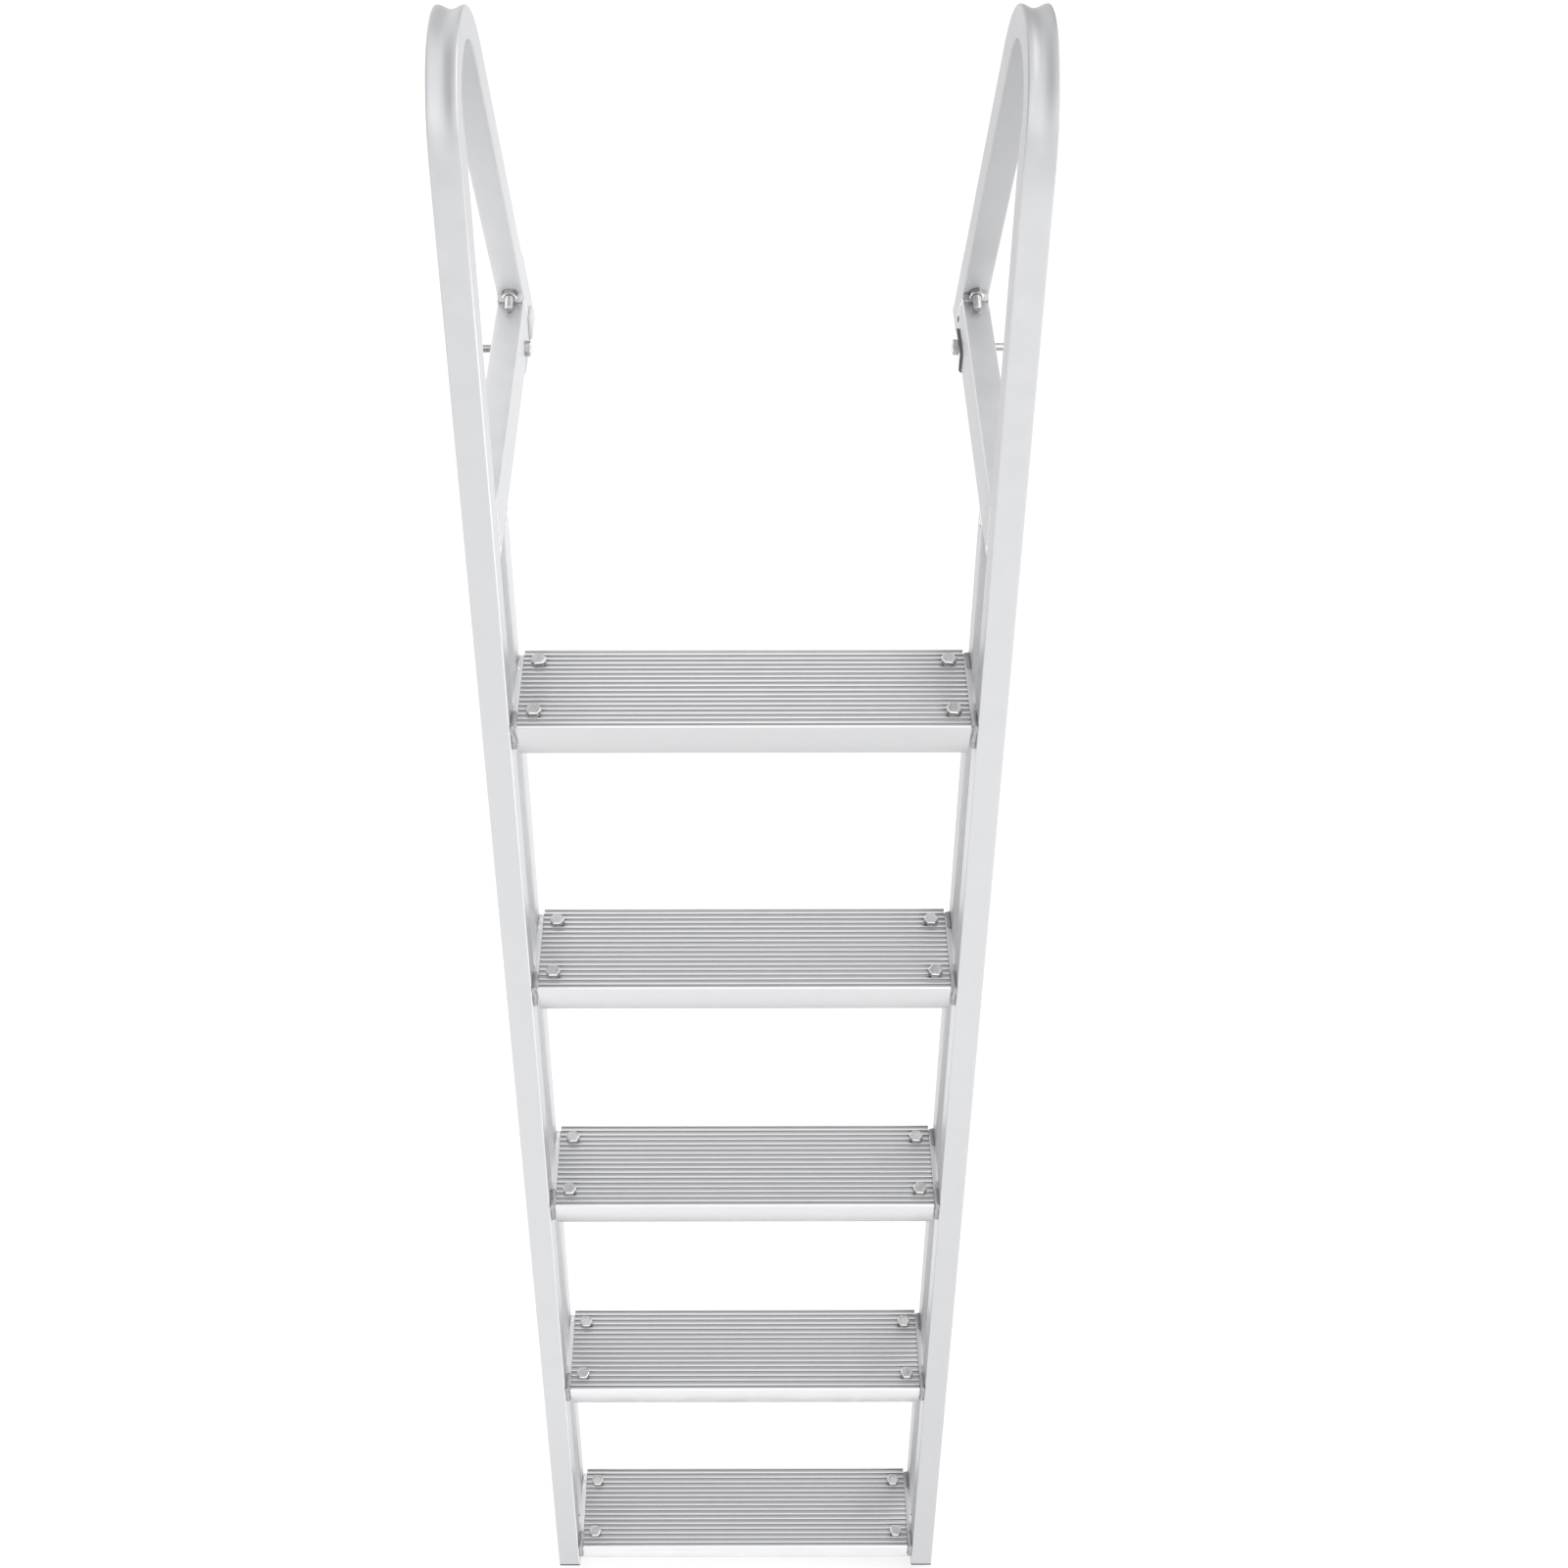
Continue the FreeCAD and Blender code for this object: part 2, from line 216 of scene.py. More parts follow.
M_TUBE = metal("tube_aluminium", (0.755, 0.76, 0.77), (0.68, 0.685, 0.695), 0.45,
               wear=0.3)
M_TUBE_IN = metal("tube_inside", (0.50, 0.50, 0.51), (0.42, 0.42, 0.43), 0.6)
# Rail fronts and outer faces: painted shade, darker towards the top of the loop and towards the feet; the right
# rail's copy is darker at the loop.
M_RAIL_PAINTED_SHADE = metal("rail_front_painted_shade", (0.695, 0.70, 0.71), (0.63, 0.635, 0.645), 0.45,
               wear=0.3, height=((0.30, 0.41, 1.0, 0.90), (-1.34, -1.05, 0.92, 1.0)))
M_RAIL_PAINTED_SHADE_R = metal("rail_front_right_painted_shade", (0.72, 0.725, 0.735), (0.655, 0.66, 0.67), 0.45, wear=0.3,
                height=((0.30, 0.41, 1.0, 0.77), (-1.34, -0.50, 0.90, 1.0)))
# Painted shade on the right frame's inner faces and knee fillet, lifted by painted light low down.
M_SHADE = metal("tube_right_painted_shade", (0.60, 0.602, 0.61), (0.535, 0.54, 0.545), 0.48,
                height=((-0.05, 0.10, 1.10, 1.0), (-0.20, -0.12, 1.15, 1.0)))
# Lighter painted shade: the right rear rail and the left knee fillet.
M_SHADE2 = metal("tube_painted_half_shade", (0.66, 0.662, 0.67), (0.595, 0.60, 0.605), 0.47)
# Painted highlight along the front inner edge of the left rails, fading towards the top of the loop.
M_TUBE_EDGE = metal("tube_edge_painted_highlight", (0.93, 0.93, 0.935), (0.87, 0.87, 0.875), 0.38,
                    line_bump=0.0, grain_bump=0.0, height=((0.22, 0.33, 1.0, 0.76),))
# Painted shade on the left frame's inner faces and the left cradle, darker towards the top.
M_SIDE = metal("tube_side_painted_shade", (0.715, 0.72, 0.73), (0.645, 0.65, 0.66), 0.45,
               height=((0.10, 0.40, 1.0, 0.87),))
# Leg fronts: painted shade darker towards the top, painted light just above the knee; the right copy darker overall.
M_WALL = metal("leg_front", (0.77, 0.775, 0.785), (0.69, 0.695, 0.705), 0.45, metallic=0.45,
               height=((0.05, 0.34, 1.02, 0.73), (0.055, 0.12, 1.12, 1.0)))
M_WALL2 = metal("leg_front_right_painted_shade", (0.575, 0.58, 0.59), (0.52, 0.525, 0.53), 0.47,
                metallic=0.45, height=((0.055, 0.12, 1.35, 1.0), (0.18, 0.38, 1.0, 0.84)))
# Arm tops: painted light, brighter towards the rear and strongest at the knee; the right copy only at the knee.
M_ARM_TOP = metal("arm_top", (0.755, 0.76, 0.77), (0.68, 0.685, 0.695), 0.45, wear=0.3,
                  along=((-0.30, -0.14, 1.03, 1.10), (-0.13, -0.05, 1.0, 0.985), (-0.035, -0.005, 1.0, 1.2)))
M_ARM_TOP2 = metal("arm_top_right_painted_light", (0.755, 0.76, 0.77), (0.68, 0.685, 0.695), 0.45, wear=0.3,
                   along=((-0.035, -0.005, 1.0, 1.2),))
# Painted shade: darker towards the lower treads.
LOW = ((-1.30, -0.40, 0.80, 1.0),)
# Grooves in painted shade, rib tops and nosing in painted highlight (a little darker low down), rib fronts in painted
# shadow.
M_TREAD = metal("tread_groove", (0.655, 0.657, 0.663), (0.60, 0.602, 0.608), 0.36,
                lines=(0.02, 1.0, 1.0), line_bump=0.0, grain_bump=0.0, height=LOW)
M_RIB = metal("tread_rib_top", (0.97, 0.97, 0.975), (0.91, 0.912, 0.918), 0.34,
              lines=(0.02, 1.0, 1.0), line_bump=0.0, grain_bump=0.0,
              height=((-1.30, -0.40, 0.92, 1.0),))
M_RIB_FRONT = metal("tread_rib_front", (0.52, 0.522, 0.53), (0.46, 0.462, 0.47), 0.45,
                    lines=(0.02, 1.0, 1.0), line_bump=0.0, grain_bump=0.0, height=LOW)
# Aprons: painted light, brighter than the tread tops, with tone bands by height: darker towards the top tread, with
# steps at single treads.
M_APRON = metal("tread_apron", (0.865, 0.867, 0.873), (0.80, 0.802, 0.808), 0.36,
                lines=(0.02, 1.0, 1.0), line_bump=0.02, grain_bump=0.03,
                height=((-1.05, -0.15, 1.02, 0.79), (-1.0454, -1.022, 1.08, 1.0),
                        (-1.25, -1.10, 0.926, 1.0), (-1.336, -1.312, 1.13, 1.0)))
M_ANGLE = metal("bracket_aluminium", (0.88, 0.88, 0.885), (0.80, 0.80, 0.805), 0.40,
                lines=(1.0, 0.03, 1.0), wear=0.3)
# Right tread brackets: painted shade.
M_ANGLE2 = metal("bracket_right_painted_shade", (0.66, 0.66, 0.665), (0.58, 0.58, 0.585), 0.42,
                 lines=(1.0, 0.03, 1.0), wear=0.3)
M_SHEET = metal("bracket_steel", (0.86, 0.858, 0.855), (0.79, 0.785, 0.785), 0.34,
                lines=(1.0, 0.03, 1.0), mottle=60.0)
# Painted highlight on the top and end faces of the left cradle tab.
M_TAB = metal("bracket_edge_painted_highlight", (0.84, 0.84, 0.845), (0.78, 0.78, 0.785), 0.5,
              lines=(1.0, 1.0, 0.05), metallic=0.25)
# Painted shade on the top and end faces of the right cradle tab; also the painted shadow line beside the tread
# brackets.
M_SHEET_EDGE = metal("bracket_edge_painted_shade", (0.26, 0.26, 0.265), (0.12, 0.12, 0.125), 0.6,
                     lines=(1.0, 1.0, 0.05), mottle=140.0, line_bump=0.3)
M_BOLT = metal("bolt_steel", (0.69, 0.672, 0.672), (0.57, 0.553, 0.553), 0.26,
               lines=(1.0, 0.12, 1.0), line_scale=500.0, mottle=160.0, line_bump=0.02,
               grain_bump=0.02)
# Chamfer rims: painted highlight.
M_BOLT_EDGE = metal("bolt_chamfer_painted_highlight", (0.97, 0.96, 0.96), (0.90, 0.89, 0.89), 0.18,
                    lines=(1.0, 1.0, 1.0), mottle=160.0, line_bump=0.0, grain_bump=0.0)
# Flats: painted shade.
M_BOLT_SIDE = metal("bolt_flats_painted_shade", (0.52, 0.51, 0.515), (0.42, 0.41, 0.415), 0.26,
                    lines=(1.0, 0.12, 1.0), mottle=160.0, line_bump=0.0, grain_bump=0.02)
# Bright thread strips are a painted highlight; the dark strips (thread_shade) a painted reflection.
M_THREAD = metal("thread_steel_painted_highlight", (0.95, 0.945, 0.945), (0.82, 0.815, 0.815), 0.16,
                 mottle=260.0, grain_bump=0.02, line_bump=0.0)
M_THREAD_DARK = metal("thread_shade", (0.34, 0.34, 0.345), (0.22, 0.22, 0.225), 0.22,
                      mottle=260.0, grain_bump=0.02, line_bump=0.0)
M_WELD = metal("weld_bead", (0.64, 0.64, 0.645), (0.24, 0.24, 0.245), 0.40,
               mottle=200.0, lines=(1.0, 1.0, 1.0), line_bump=0.25, grain_bump=0.3)
# Weld spots and beads: painted highlight.
M_SPOT = metal("weld_spot_painted_highlight", (0.98, 0.98, 0.985), (0.88, 0.88, 0.885), 0.30,
               mottle=200.0, line_bump=0.0, grain_bump=0.0)
# Weld toe, darkened with painted shade in the crease.
M_TOE = metal("weld_toe_crease_painted_shade", (0.48, 0.48, 0.485), (0.34, 0.34, 0.345), 0.55,
              mottle=200.0, lines=(1.0, 1.0, 1.0), line_bump=0.1, grain_bump=0.1)
M_BLACK_SPOT = metal("weld_black_spot", (0.10, 0.10, 0.105), (0.04, 0.04, 0.042), 0.6,
              mottle=260.0, line_bump=0.0, grain_bump=0.1)
# Dark weld; also the painted shadow left of the right nut.
M_LUMP = metal("weld_dark_and_painted_shadow", (0.42, 0.42, 0.425), (0.24, 0.24, 0.245), 0.5,
               mottle=260.0, lines=(1.0, 1.0, 1.0), line_bump=0.1, grain_bump=0.2)
# Weld beads with a painted highlight.
M_WELD_TOP = metal("weld_bead_painted_highlight", (0.92, 0.92, 0.925), (0.60, 0.60, 0.605), 0.28,
                   mottle=220.0, lines=(1.0, 1.0, 1.0), line_bump=0.12, grain_bump=0.2)


def plastic(name, light, dark, rough):
    m, nt, b = nodes_of(name)
    co = nt.nodes.new("ShaderNodeTexCoord")
    cloud = add_noise(nt, co, 120.0, 4.0, 0.6)
    fine = add_noise(nt, co, 1800.0, 2.0, 0.5)
    nt.links.new(mixc(nt, cloud.outputs["Fac"], dark, light), b.inputs["Base Color"])
    nt.links.new(ramp(nt, fine.outputs["Fac"], 0.3, 0.7, rough - 0.06, rough + 0.06),
                 b.inputs["Roughness"])
    bp = nt.nodes.new("ShaderNodeBump")
    bp.inputs["Strength"].default_value = 0.2
    bp.inputs["Distance"].default_value = 0.0002
    nt.links.new(fine.outputs["Fac"], bp.inputs["Height"])
    nt.links.new(bp.outputs["Normal"], b.inputs["Normal"])
    return m


M_CAP = plastic("cap_plastic", (0.050, 0.050, 0.054), (0.030, 0.030, 0.033), 0.55)


# ------------------------------------------------------------ mesh building
class Mesh:
    def __init__(self):
        self.v, self.f, self.m = [], [], []

    def ring(self, pts):
        i = len(self.v)
        self.v += [tuple(p) for p in pts]
        return list(range(i, i + len(pts)))

    def face(self, f, mat=0):
        self.f.append(tuple(f))
        self.m.append(mat)

    def bridge(self, a, b, mat=0, closed=True):
        n = len(a)
        for i in range(n if closed else n - 1):
            j = (i + 1) % n
            self.face((a[i], a[j], b[j], b[i]), mat)

    def fan(self, a, mat=0):
        """Close a ring with a centre point."""
        c = [sum(self.v[i][k] for i in a) / len(a) for k in range(3)]
        ci = self.ring([c])[0]
        for i in range(len(a)):
            self.face((a[i], a[(i + 1) % len(a)], ci), mat)

    def loft(self, rings, mat=0, cap0=True, cap1=True):
        ids = [self.ring(r) for r in rings]
        for a, b in zip(ids, ids[1:]):
            self.bridge(a, b, mat)
        if cap0:
            self.face(ids[0][::-1], mat)
        if cap1:
            self.face(ids[-1], mat)
        return ids

    def build(self, name, mats, slot, replaces=(), sharp=32.0, mirror=False, move=(0, 0, 0)):
        sx = -1.0 if mirror else 1.0
        me = bpy.data.meshes.new(name)
        me.from_pydata([W((sx * p[0] + move[0], p[1] + move[1], p[2] + move[2]))
                        for p in self.v], [], self.f)
        for m in mats:
            me.materials.append(m)
        for poly, mi in zip(me.polygons, self.m):
            poly.material_index = mi
        bm = bmesh.new()
        bm.from_mesh(me)
        bmesh.ops.remove_doubles(bm, verts=bm.verts, dist=2e-7)
        bmesh.ops.recalc_face_normals(bm, faces=bm.faces)
        bm.to_mesh(me)
        bm.free()
        for poly in me.polygons:
            poly.use_smooth = True
        me.set_sharp_from_angle(angle=math.radians(sharp))
        ob = bpy.data.objects.new(name, me)
        bpy.context.scene.collection.objects.link(ob)
        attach(ob, "root")
        if replaces:
            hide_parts(*replaces)
        return ob


def rrect(x0, x1, y0, y1, r, nc=6, nx=10, ny=6):
    """Rounded rectangle as a closed list of points."""
    pts = []

    def run(ax, ay, bx, by, n):
        for i in range(n):
            pts.append((ax + (bx - ax) * i / n, ay + (by - ay) * i / n))

    def arc(cx, cy, a0, n):
        for i in range(n):
            g = math.radians(a0 + 90.0 * i / n)
            pts.append((cx + r * math.cos(g), cy + r * math.sin(g)))

    run(x0 + r, y0, x1 - r, y0, nx)
    arc(x1 - r, y0 + r, -90, nc)
    run(x1, y0 + r, x1, y1 - r, ny)
    arc(x1 - r, y1 - r, 0, nc)
    run(x1 - r, y1, x0 + r, y1, nx)
    arc(x0 + r, y1 - r, 90, nc)
    run(x0, y1 - r, x0, y0 + r, ny)
    arc(x0 + r, y0 + r, 180, nc)
    return pts


# ------------------------------------------------------------ handrail tubes
SQ_OUT, SQ_IN, DIP, NARROW = 2.3, 3.4, 3.3, 0.07
CORNER = 1.4
L_BEND = BEND_R * math.radians(BEND_DEG)


def squash(x, m, q):
    """Pressed section in the bend: sunken outer wall, pushed-in inner wall."""
    w = smooth((q + 22.0) / 58.0) * smooth((L_BEND + 22.0 - q) / 58.0)
    if w <= 0.0:
        return x, m
    f = max(0.0, 1.0 - m / 15.0)
    g = max(0.0, 1.0 - m / 5.0)
    b = max(0.0, (m - 15.0) / 15.0)
    x *= 1.0 - NARROW * w
    ax = abs(x) / 9.4
    dip = DIP * math.cos(math.pi / 2.0 * ax) ** 1.5 if ax < 1.0 else 0.0
    m2 = m + w * (f * SQ_OUT + g * dip) - w * b * SQ_IN
    bulge = 0.15 * w * math.sin(math.pi * min(1.0, max(0.0, m / 30.0)))
    return x + math.copysign(bulge, x) * (1.0 if abs(x) > 9.0 else 0.0), m2


def rail_point(x, m, s):
    return (XM + x, U[0] * s + N[0] * m, U[1] * s + N[1] * m)


def bend_point(x, m, phi):
    ey = N[0] * math.cos(phi) - U[0] * math.sin(phi)
    ez = N[1] * math.cos(phi) - U[1] * math.sin(phi)
    k = BEND_R + 15.0 - m
    return (XM + x, BEND_C[0] - ey * k, BEND_C[1] - ez * k)


def leg_point(x, m, d):
    k = BEND_R + 15.0 - m
    return (XM + x, BEND_C[0] + LN[0] * k + LD[0] * d, BEND_C[1] + LN[1] * k + LD[1] * d)


def handrail_rings(sec, edge):
    rings = []

    def straight(s, inset=0.0):
        pts = []
        for x, m in sec:
            x2, m2 = squash(x, m, s - S_BEND)
            if inset:
                x2 *= 1.0 - inset / 12.5
                m2 = 15.0 + (m2 - 15.0) * (1.0 - inset / 15.0)
            pts.append(rail_point(x2, m2, s))
        rings.append(pts)

    straight(S0, edge)
    straight(S0 + abs(edge) * 0.3, edge * 0.3)
    straight(S0 + abs(edge) + 0.01)
    for s in (-1230.0, -1100.0, -900.0, -700.0, -500.0, -300.0, -100.0, 100.0, 300.0,
              420.0, 460.0):
        straight(s)
    for i in range(1, 11):
        straight(482.0 + (S_BEND - 482.0) * (i - 1) / 10.0)
    nb = 80
    for i in range(nb + 1):
        phi = math.radians(BEND_DEG) * i / nb
        rings.append([bend_point(*squash(x, m, BEND_R * phi), phi) for x, m in sec])
    for i in range(1, 11):
        d = 24.0 * i / 10.0
        rings.append([leg_point(*squash(x, m, L_BEND + d), d) for x, m in sec])
    for d in (60.0, 140.0, 220.0):
        rings.append([leg_point(x, m, d) for x, m in sec])
    # level cut at the bottom of the leg
    for up, ins in ((abs(edge) + 0.01, 0.0), (abs(edge) * 0.3, edge * 0.3), (0.0, edge)):
        pts = []
        for x, m in sec:
            x2 = x * (1.0 - ins / 12.5)
            m2 = 15.0 + (m - 15.0) * (1.0 - ins / 15.0)
            p = leg_point(x2, m2, 0.0)
            d = (p[2] - (ARM_BOT + up)) / math.cos(A)
            pts.append(leg_point(x2, m2, d))
        rings.append(pts)
    return rings


def tube_mesh(outer, inner, sec, pick):
    """Tube wall with a material picked from the place on the section."""
    mb = Mesh()
    n = len(sec)
    o = [mb.ring(r) for r in outer]
    for a, b in zip(o, o[1:]):
        for i in range(n):
            j = (i + 1) % n
            mb.face((a[i], a[j], b[j], b[i]),
                    pick((sec[i][0] + sec[j][0]) / 2.0, (sec[i][1] + sec[j][1]) / 2.0))
    i = mb.loft(inner, 1, False, False)
    mb.bridge(o[0], i[0], 1)
    mb.bridge(o[-1], i[-1], 1)
    return mb


def make_handrail(name, node, mirror):
    sec_o = rrect(-12.5, 12.5, 0.0, 30.0, CORNER)
    sec_i = rrect(-10.5, 10.5, 2.0, 28.0, 0.6)

    # Material slots: 0 inner side (painted shade), 2 front and corners (painted shade), 3 front inner edge (painted
    # highlight on the left, plain rail front on the right), 4 rear face, the leg front (painted light and shade), 5
    # outer side.
    def pick(x, m):
        if m > 29.95:
            return 4
        if x < -12.45 or (x < -11.6 and m > 29.0):
            return 0
        if x < -11.6 and m < 1.0:
            return 3
        return 5 if x > 12.45 else 2

    mb = tube_mesh(handrail_rings(sec_o, 0.35), handrail_rings(sec_i, 0.0), sec_o, pick)
    if mirror:
        mats = [M_SIDE, M_TUBE_IN, M_RAIL_PAINTED_SHADE, M_TUBE_EDGE, M_WALL, M_TUBE]
    else:
        mats = [M_SHADE, M_TUBE_IN, M_RAIL_PAINTED_SHADE_R, M_RAIL_PAINTED_SHADE_R, M_WALL2, M_TUBE]
    return mb.build(name, mats, "tube", (node,), mirror=mirror)


# ------------------------------------------------------------ straight tubes
def cut_tube(sec, place, along, plane0, plane1, edge, steps=8):
    """Rings of a straight tube between two planes, with broken edges.

    place maps (x, m, d) to a point, plane0 and plane1 give d for (x, m)."""
    rings = []
    cx = sum(p[0] for p in sec) / len(sec)
    cm = sum(p[1] for p in sec) / len(sec)
    hx = max(abs(p[0] - cx) for p in sec)
    hm = max(abs(p[1] - cm) for p in sec)

    def one(t, off, ins):
        pts = []
        for x, m in sec:
            x2 = cx + (x - cx) * (1.0 - ins / hx)
            m2 = cm + (m - cm) * (1.0 - ins / hm)
            a, b = plane0(x2, m2), plane1(x2, m2)
            pts.append(place(x2, m2, a + (b - a) * t + off))
        rings.append(pts)

    e = abs(edge)
    one(0.0, 0.0, edge)
    one(0.0, e * 0.3, edge * 0.3)
    one(0.0, e + 0.01, 0.0)
    for i in range(1, steps):
        one(i / steps, 0.0, 0.0)
    one(1.0, -e - 0.01, 0.0)
    one(1.0, -e * 0.3, edge * 0.3)
    one(1.0, 0.0, edge)
    return rings


def make_rear_rail(name, node, mirror):
    def place(x, m, s):
        return rail_point(x, m, s)

    def top(x, m):
        return (ARM_BOT - 0.15 - N[1] * m) / U[1]

    def bottom(x, m):
        return S0

    so = rrect(-12.5, 12.5, 70.0, 100.0, CORNER, nx=5)
    si = rrect(-10.5, 10.5, 72.0, 98.0, 1.0, nx=5)
    mb = tube_mesh(cut_tube(so, place, None, bottom, top, 0.35),
                   cut_tube(si, place, None, bottom, top, 0.0), so, lambda x, m: 0)
    # The right rear rail in lighter painted shade.
    return mb.build(name, [M_TUBE if mirror else M_SHADE2, M_TUBE_IN], "tube", (node,),
                    mirror=mirror)


def make_arm(name, node, mirror):
    def place(x, m, d):
        return (XM + x, d, m)

    def front(x, m):
        return (DEPTH + 0.15 + m * math.sin(T)) / math.cos(T)

    def back(x, m):
        return leg_front_y(m) - 0.15

    so = rrect(-12.5, 12.5, ARM_BOT, ARM_TOP, CORNER, nx=5, ny=10)
    si = rrect(-10.5, 10.5, ARM_BOT + 2.0, ARM_TOP - 2.0, 1.0, nx=5, ny=10)
    mb = tube_mesh(cut_tube(so, place, None, front, back, 0.4),
                   cut_tube(si, place, None, front, back, 0.0), so,
                   lambda x, m: 2 if x < -12.45 else 0)
    # Tops in painted light; inner side in painted shade.
    return mb.build(name, [M_ARM_TOP if mirror else M_ARM_TOP2, M_TUBE_IN,
                           M_SIDE if mirror else M_SHADE], "tube", (node,), mirror=mirror)


# ------------------------------------------------------------ prisms with broken edges
def inset_outline(pts, d):
    """Moves each point of a counter-clockwise outline inwards by d."""
    n = len(pts)
    out = []
    for i in range(n):
        p, q, r = pts[i - 1], pts[i], pts[(i + 1) % n]
        e1 = (q[0] - p[0], q[1] - p[1])
        e2 = (r[0] - q[0], r[1] - q[1])
        l1 = math.hypot(*e1) or 1.0
        l2 = math.hypot(*e2) or 1.0
        n1 = (-e1[1] / l1, e1[0] / l1)
        n2 = (-e2[1] / l2, e2[0] / l2)
        k = 1.0 + n1[0] * n2[0] + n1[1] * n2[1]
        k = max(k, 0.35)
        out.append((q[0] + d * (n1[0] + n2[0]) / k, q[1] + d * (n1[1] + n2[1]) / k))
    return out


def area2(pts):
    return sum(pts[i - 1][0] * pts[i][1] - pts[i][0] * pts[i - 1][1] for i in range(len(pts)))


def round_corners(pts, radii, seg=4):
    """Rounds the corners of an outline, one radius per corner."""
    n = len(pts)
    out = []
    for i in range(n):
        p, q, r = pts[i - 1], pts[i], pts[(i + 1) % n]
        rad = radii[i]
        a = Vector((p[0] - q[0], p[1] - q[1]))
        b = Vector((r[0] - q[0], r[1] - q[1]))
        if rad <= 0.0:
            out.append(q)
            continue
        ang = a.angle(b)
        d = min(rad / math.tan(ang / 2.0), a.length * 0.49, b.length * 0.49)
        rad = d * math.tan(ang / 2.0)
        c = Vector(q) + (a.normalized() + b.normalized()).normalized() * (rad / math.sin(ang / 2.0))
        s = Vector(q) + a.normalized() * d - c
        e = Vector(q) + b.normalized() * d - c
        a0 = math.atan2(s.y, s.x)
        da = math.atan2(e.y, e.x) - a0
        while da > math.pi:
            da -= 2 * math.pi
        while da < -math.pi:
            da += 2 * math.pi
        for k in range(seg + 1):
            g = a0 + da * k / seg
            out.append((c.x + rad * math.cos(g), c.y + rad * math.sin(g)))
    return out


def prism(mb, outline, place, d0, d1, edge=0.4, mat=0, cap_mat=None, steps=1, pick=None):
    """Outline pushed along d; the two end edges are rounded over."""
    if area2(outline) < 0:
        outline = outline[::-1]
    rings = []
    prof = ((0.0, 1.0), (0.13, 0.5), (0.5, 0.13), (1.0, 0.0))
    for a, b in prof:
        o = inset_outline(outline, edge * b)
        rings.append([place(p[0], p[1], d0 + edge * a) for p in o])
    for i in range(1, steps):
        rings.append([place(p[0], p[1], d0 + (d1 - d0) * i / steps) for p in outline])
    for a, b in prof[::-1]:
        o = inset_outline(outline, edge * b)
        rings.append([place(p[0], p[1], d1 - edge * a) for p in o])
    ids = [mb.ring(r) for r in rings]
    n = len(outline)
    for a, b in zip(ids, ids[1:]):
        if pick is None:
            mb.bridge(a, b, mat)
            continue
        for i in range(n):
            j = (i + 1) % n
            mb.face((a[i], a[j], b[j], b[i]), pick(outline[i], outline[j]))
    cm = mat if cap_mat is None else cap_mat
    mb.face(ids[0][::-1], cm)
    mb.face(ids[-1], cm)


# ------------------------------------------------------------ treads
def tread_outline():
    """Section in (Y, Z): rounded nosing, 16 rounded ribs, two aprons."""
    g = 1.8
    pts = [(1.2, -33.0), (0.35, -32.65), (0.0, -31.8), (0.0, -2.4)]
    for i in range(1, 7):
        w = math.radians(90.0 * i / 6.0)
        pts.append((2.0 - 2.0 * math.cos(w), -2.0 + 2.0 * math.sin(w)))
    pts += [(2.5, -0.05), (2.85, -0.4), (3.0, -1.4), (3.35, -g)]
    for j in range(16):
        c = 6.5 + 5.83 * j
        pts += [(c - 1.55, -g), (c - 1.25, -1.5), (c - 1.0, -0.42), (c - 0.86, -0.12),
                (c - 0.55, 0.0), (c + 0.55, 0.0), (c + 0.86, -0.12), (c + 1.0, -0.42),
                (c + 1.25, -1.5), (c + 1.55, -g)]
    pts += [(97.6, -g), (98.0, -1.2), (98.25, -0.5), (98.7, -0.15), (99.3, -0.1),
            (99.8, -0.4), (100.0, -1.0), (100.0, -32.2), (99.6, -32.85), (98.8, -33.0),
            (97.6, -33.0), (97.1, -32.7), (97.0, -32.2), (97.0, -7.0), (96.5, -5.6),
            (95.0, -5.0), (5.0, -5.0), (3.5, -5.6), (3.0, -7.0), (3.0, -31.6),
            (2.6, -32.6), (1.9, -33.0)]
    return pts


def tread_face(p, q):
    """Rib tops and nosing in painted highlight, grooves in painted shade, rib fronts in painted shadow, plain aprons.
    """
    y, z = (p[0] + q[0]) / 2.0, (p[1] + q[1]) / 2.0
    if z < -3.0 or (y < 1.0 and z < -0.7):
        return 3
    if y < 2.6 or z > -0.3:
        return 1
    if abs(p[1] - q[1]) > 0.25 and y < 97.0:
        c = 6.5 + 5.83 * round((y - 6.5) / 5.83)
        return 2 if y < c else 0
    return 0


def make_tread(k):
    dz = -RISE * k
    dy = dz * math.tan(T)
    mb = Mesh()
    prism(mb, tread_outline(), lambda y, z, x: (x, y + dy, z + dz), -200.1, 200.1, 0.3,
          steps=6, pick=tread_face)
    return mb.build("tread_%d_ribbed" % (k + 1), [M_TREAD, M_RIB, M_RIB_FRONT, M_APRON], "tread",
                    ("tread_%d" % (k + 1),), sharp=28.0)


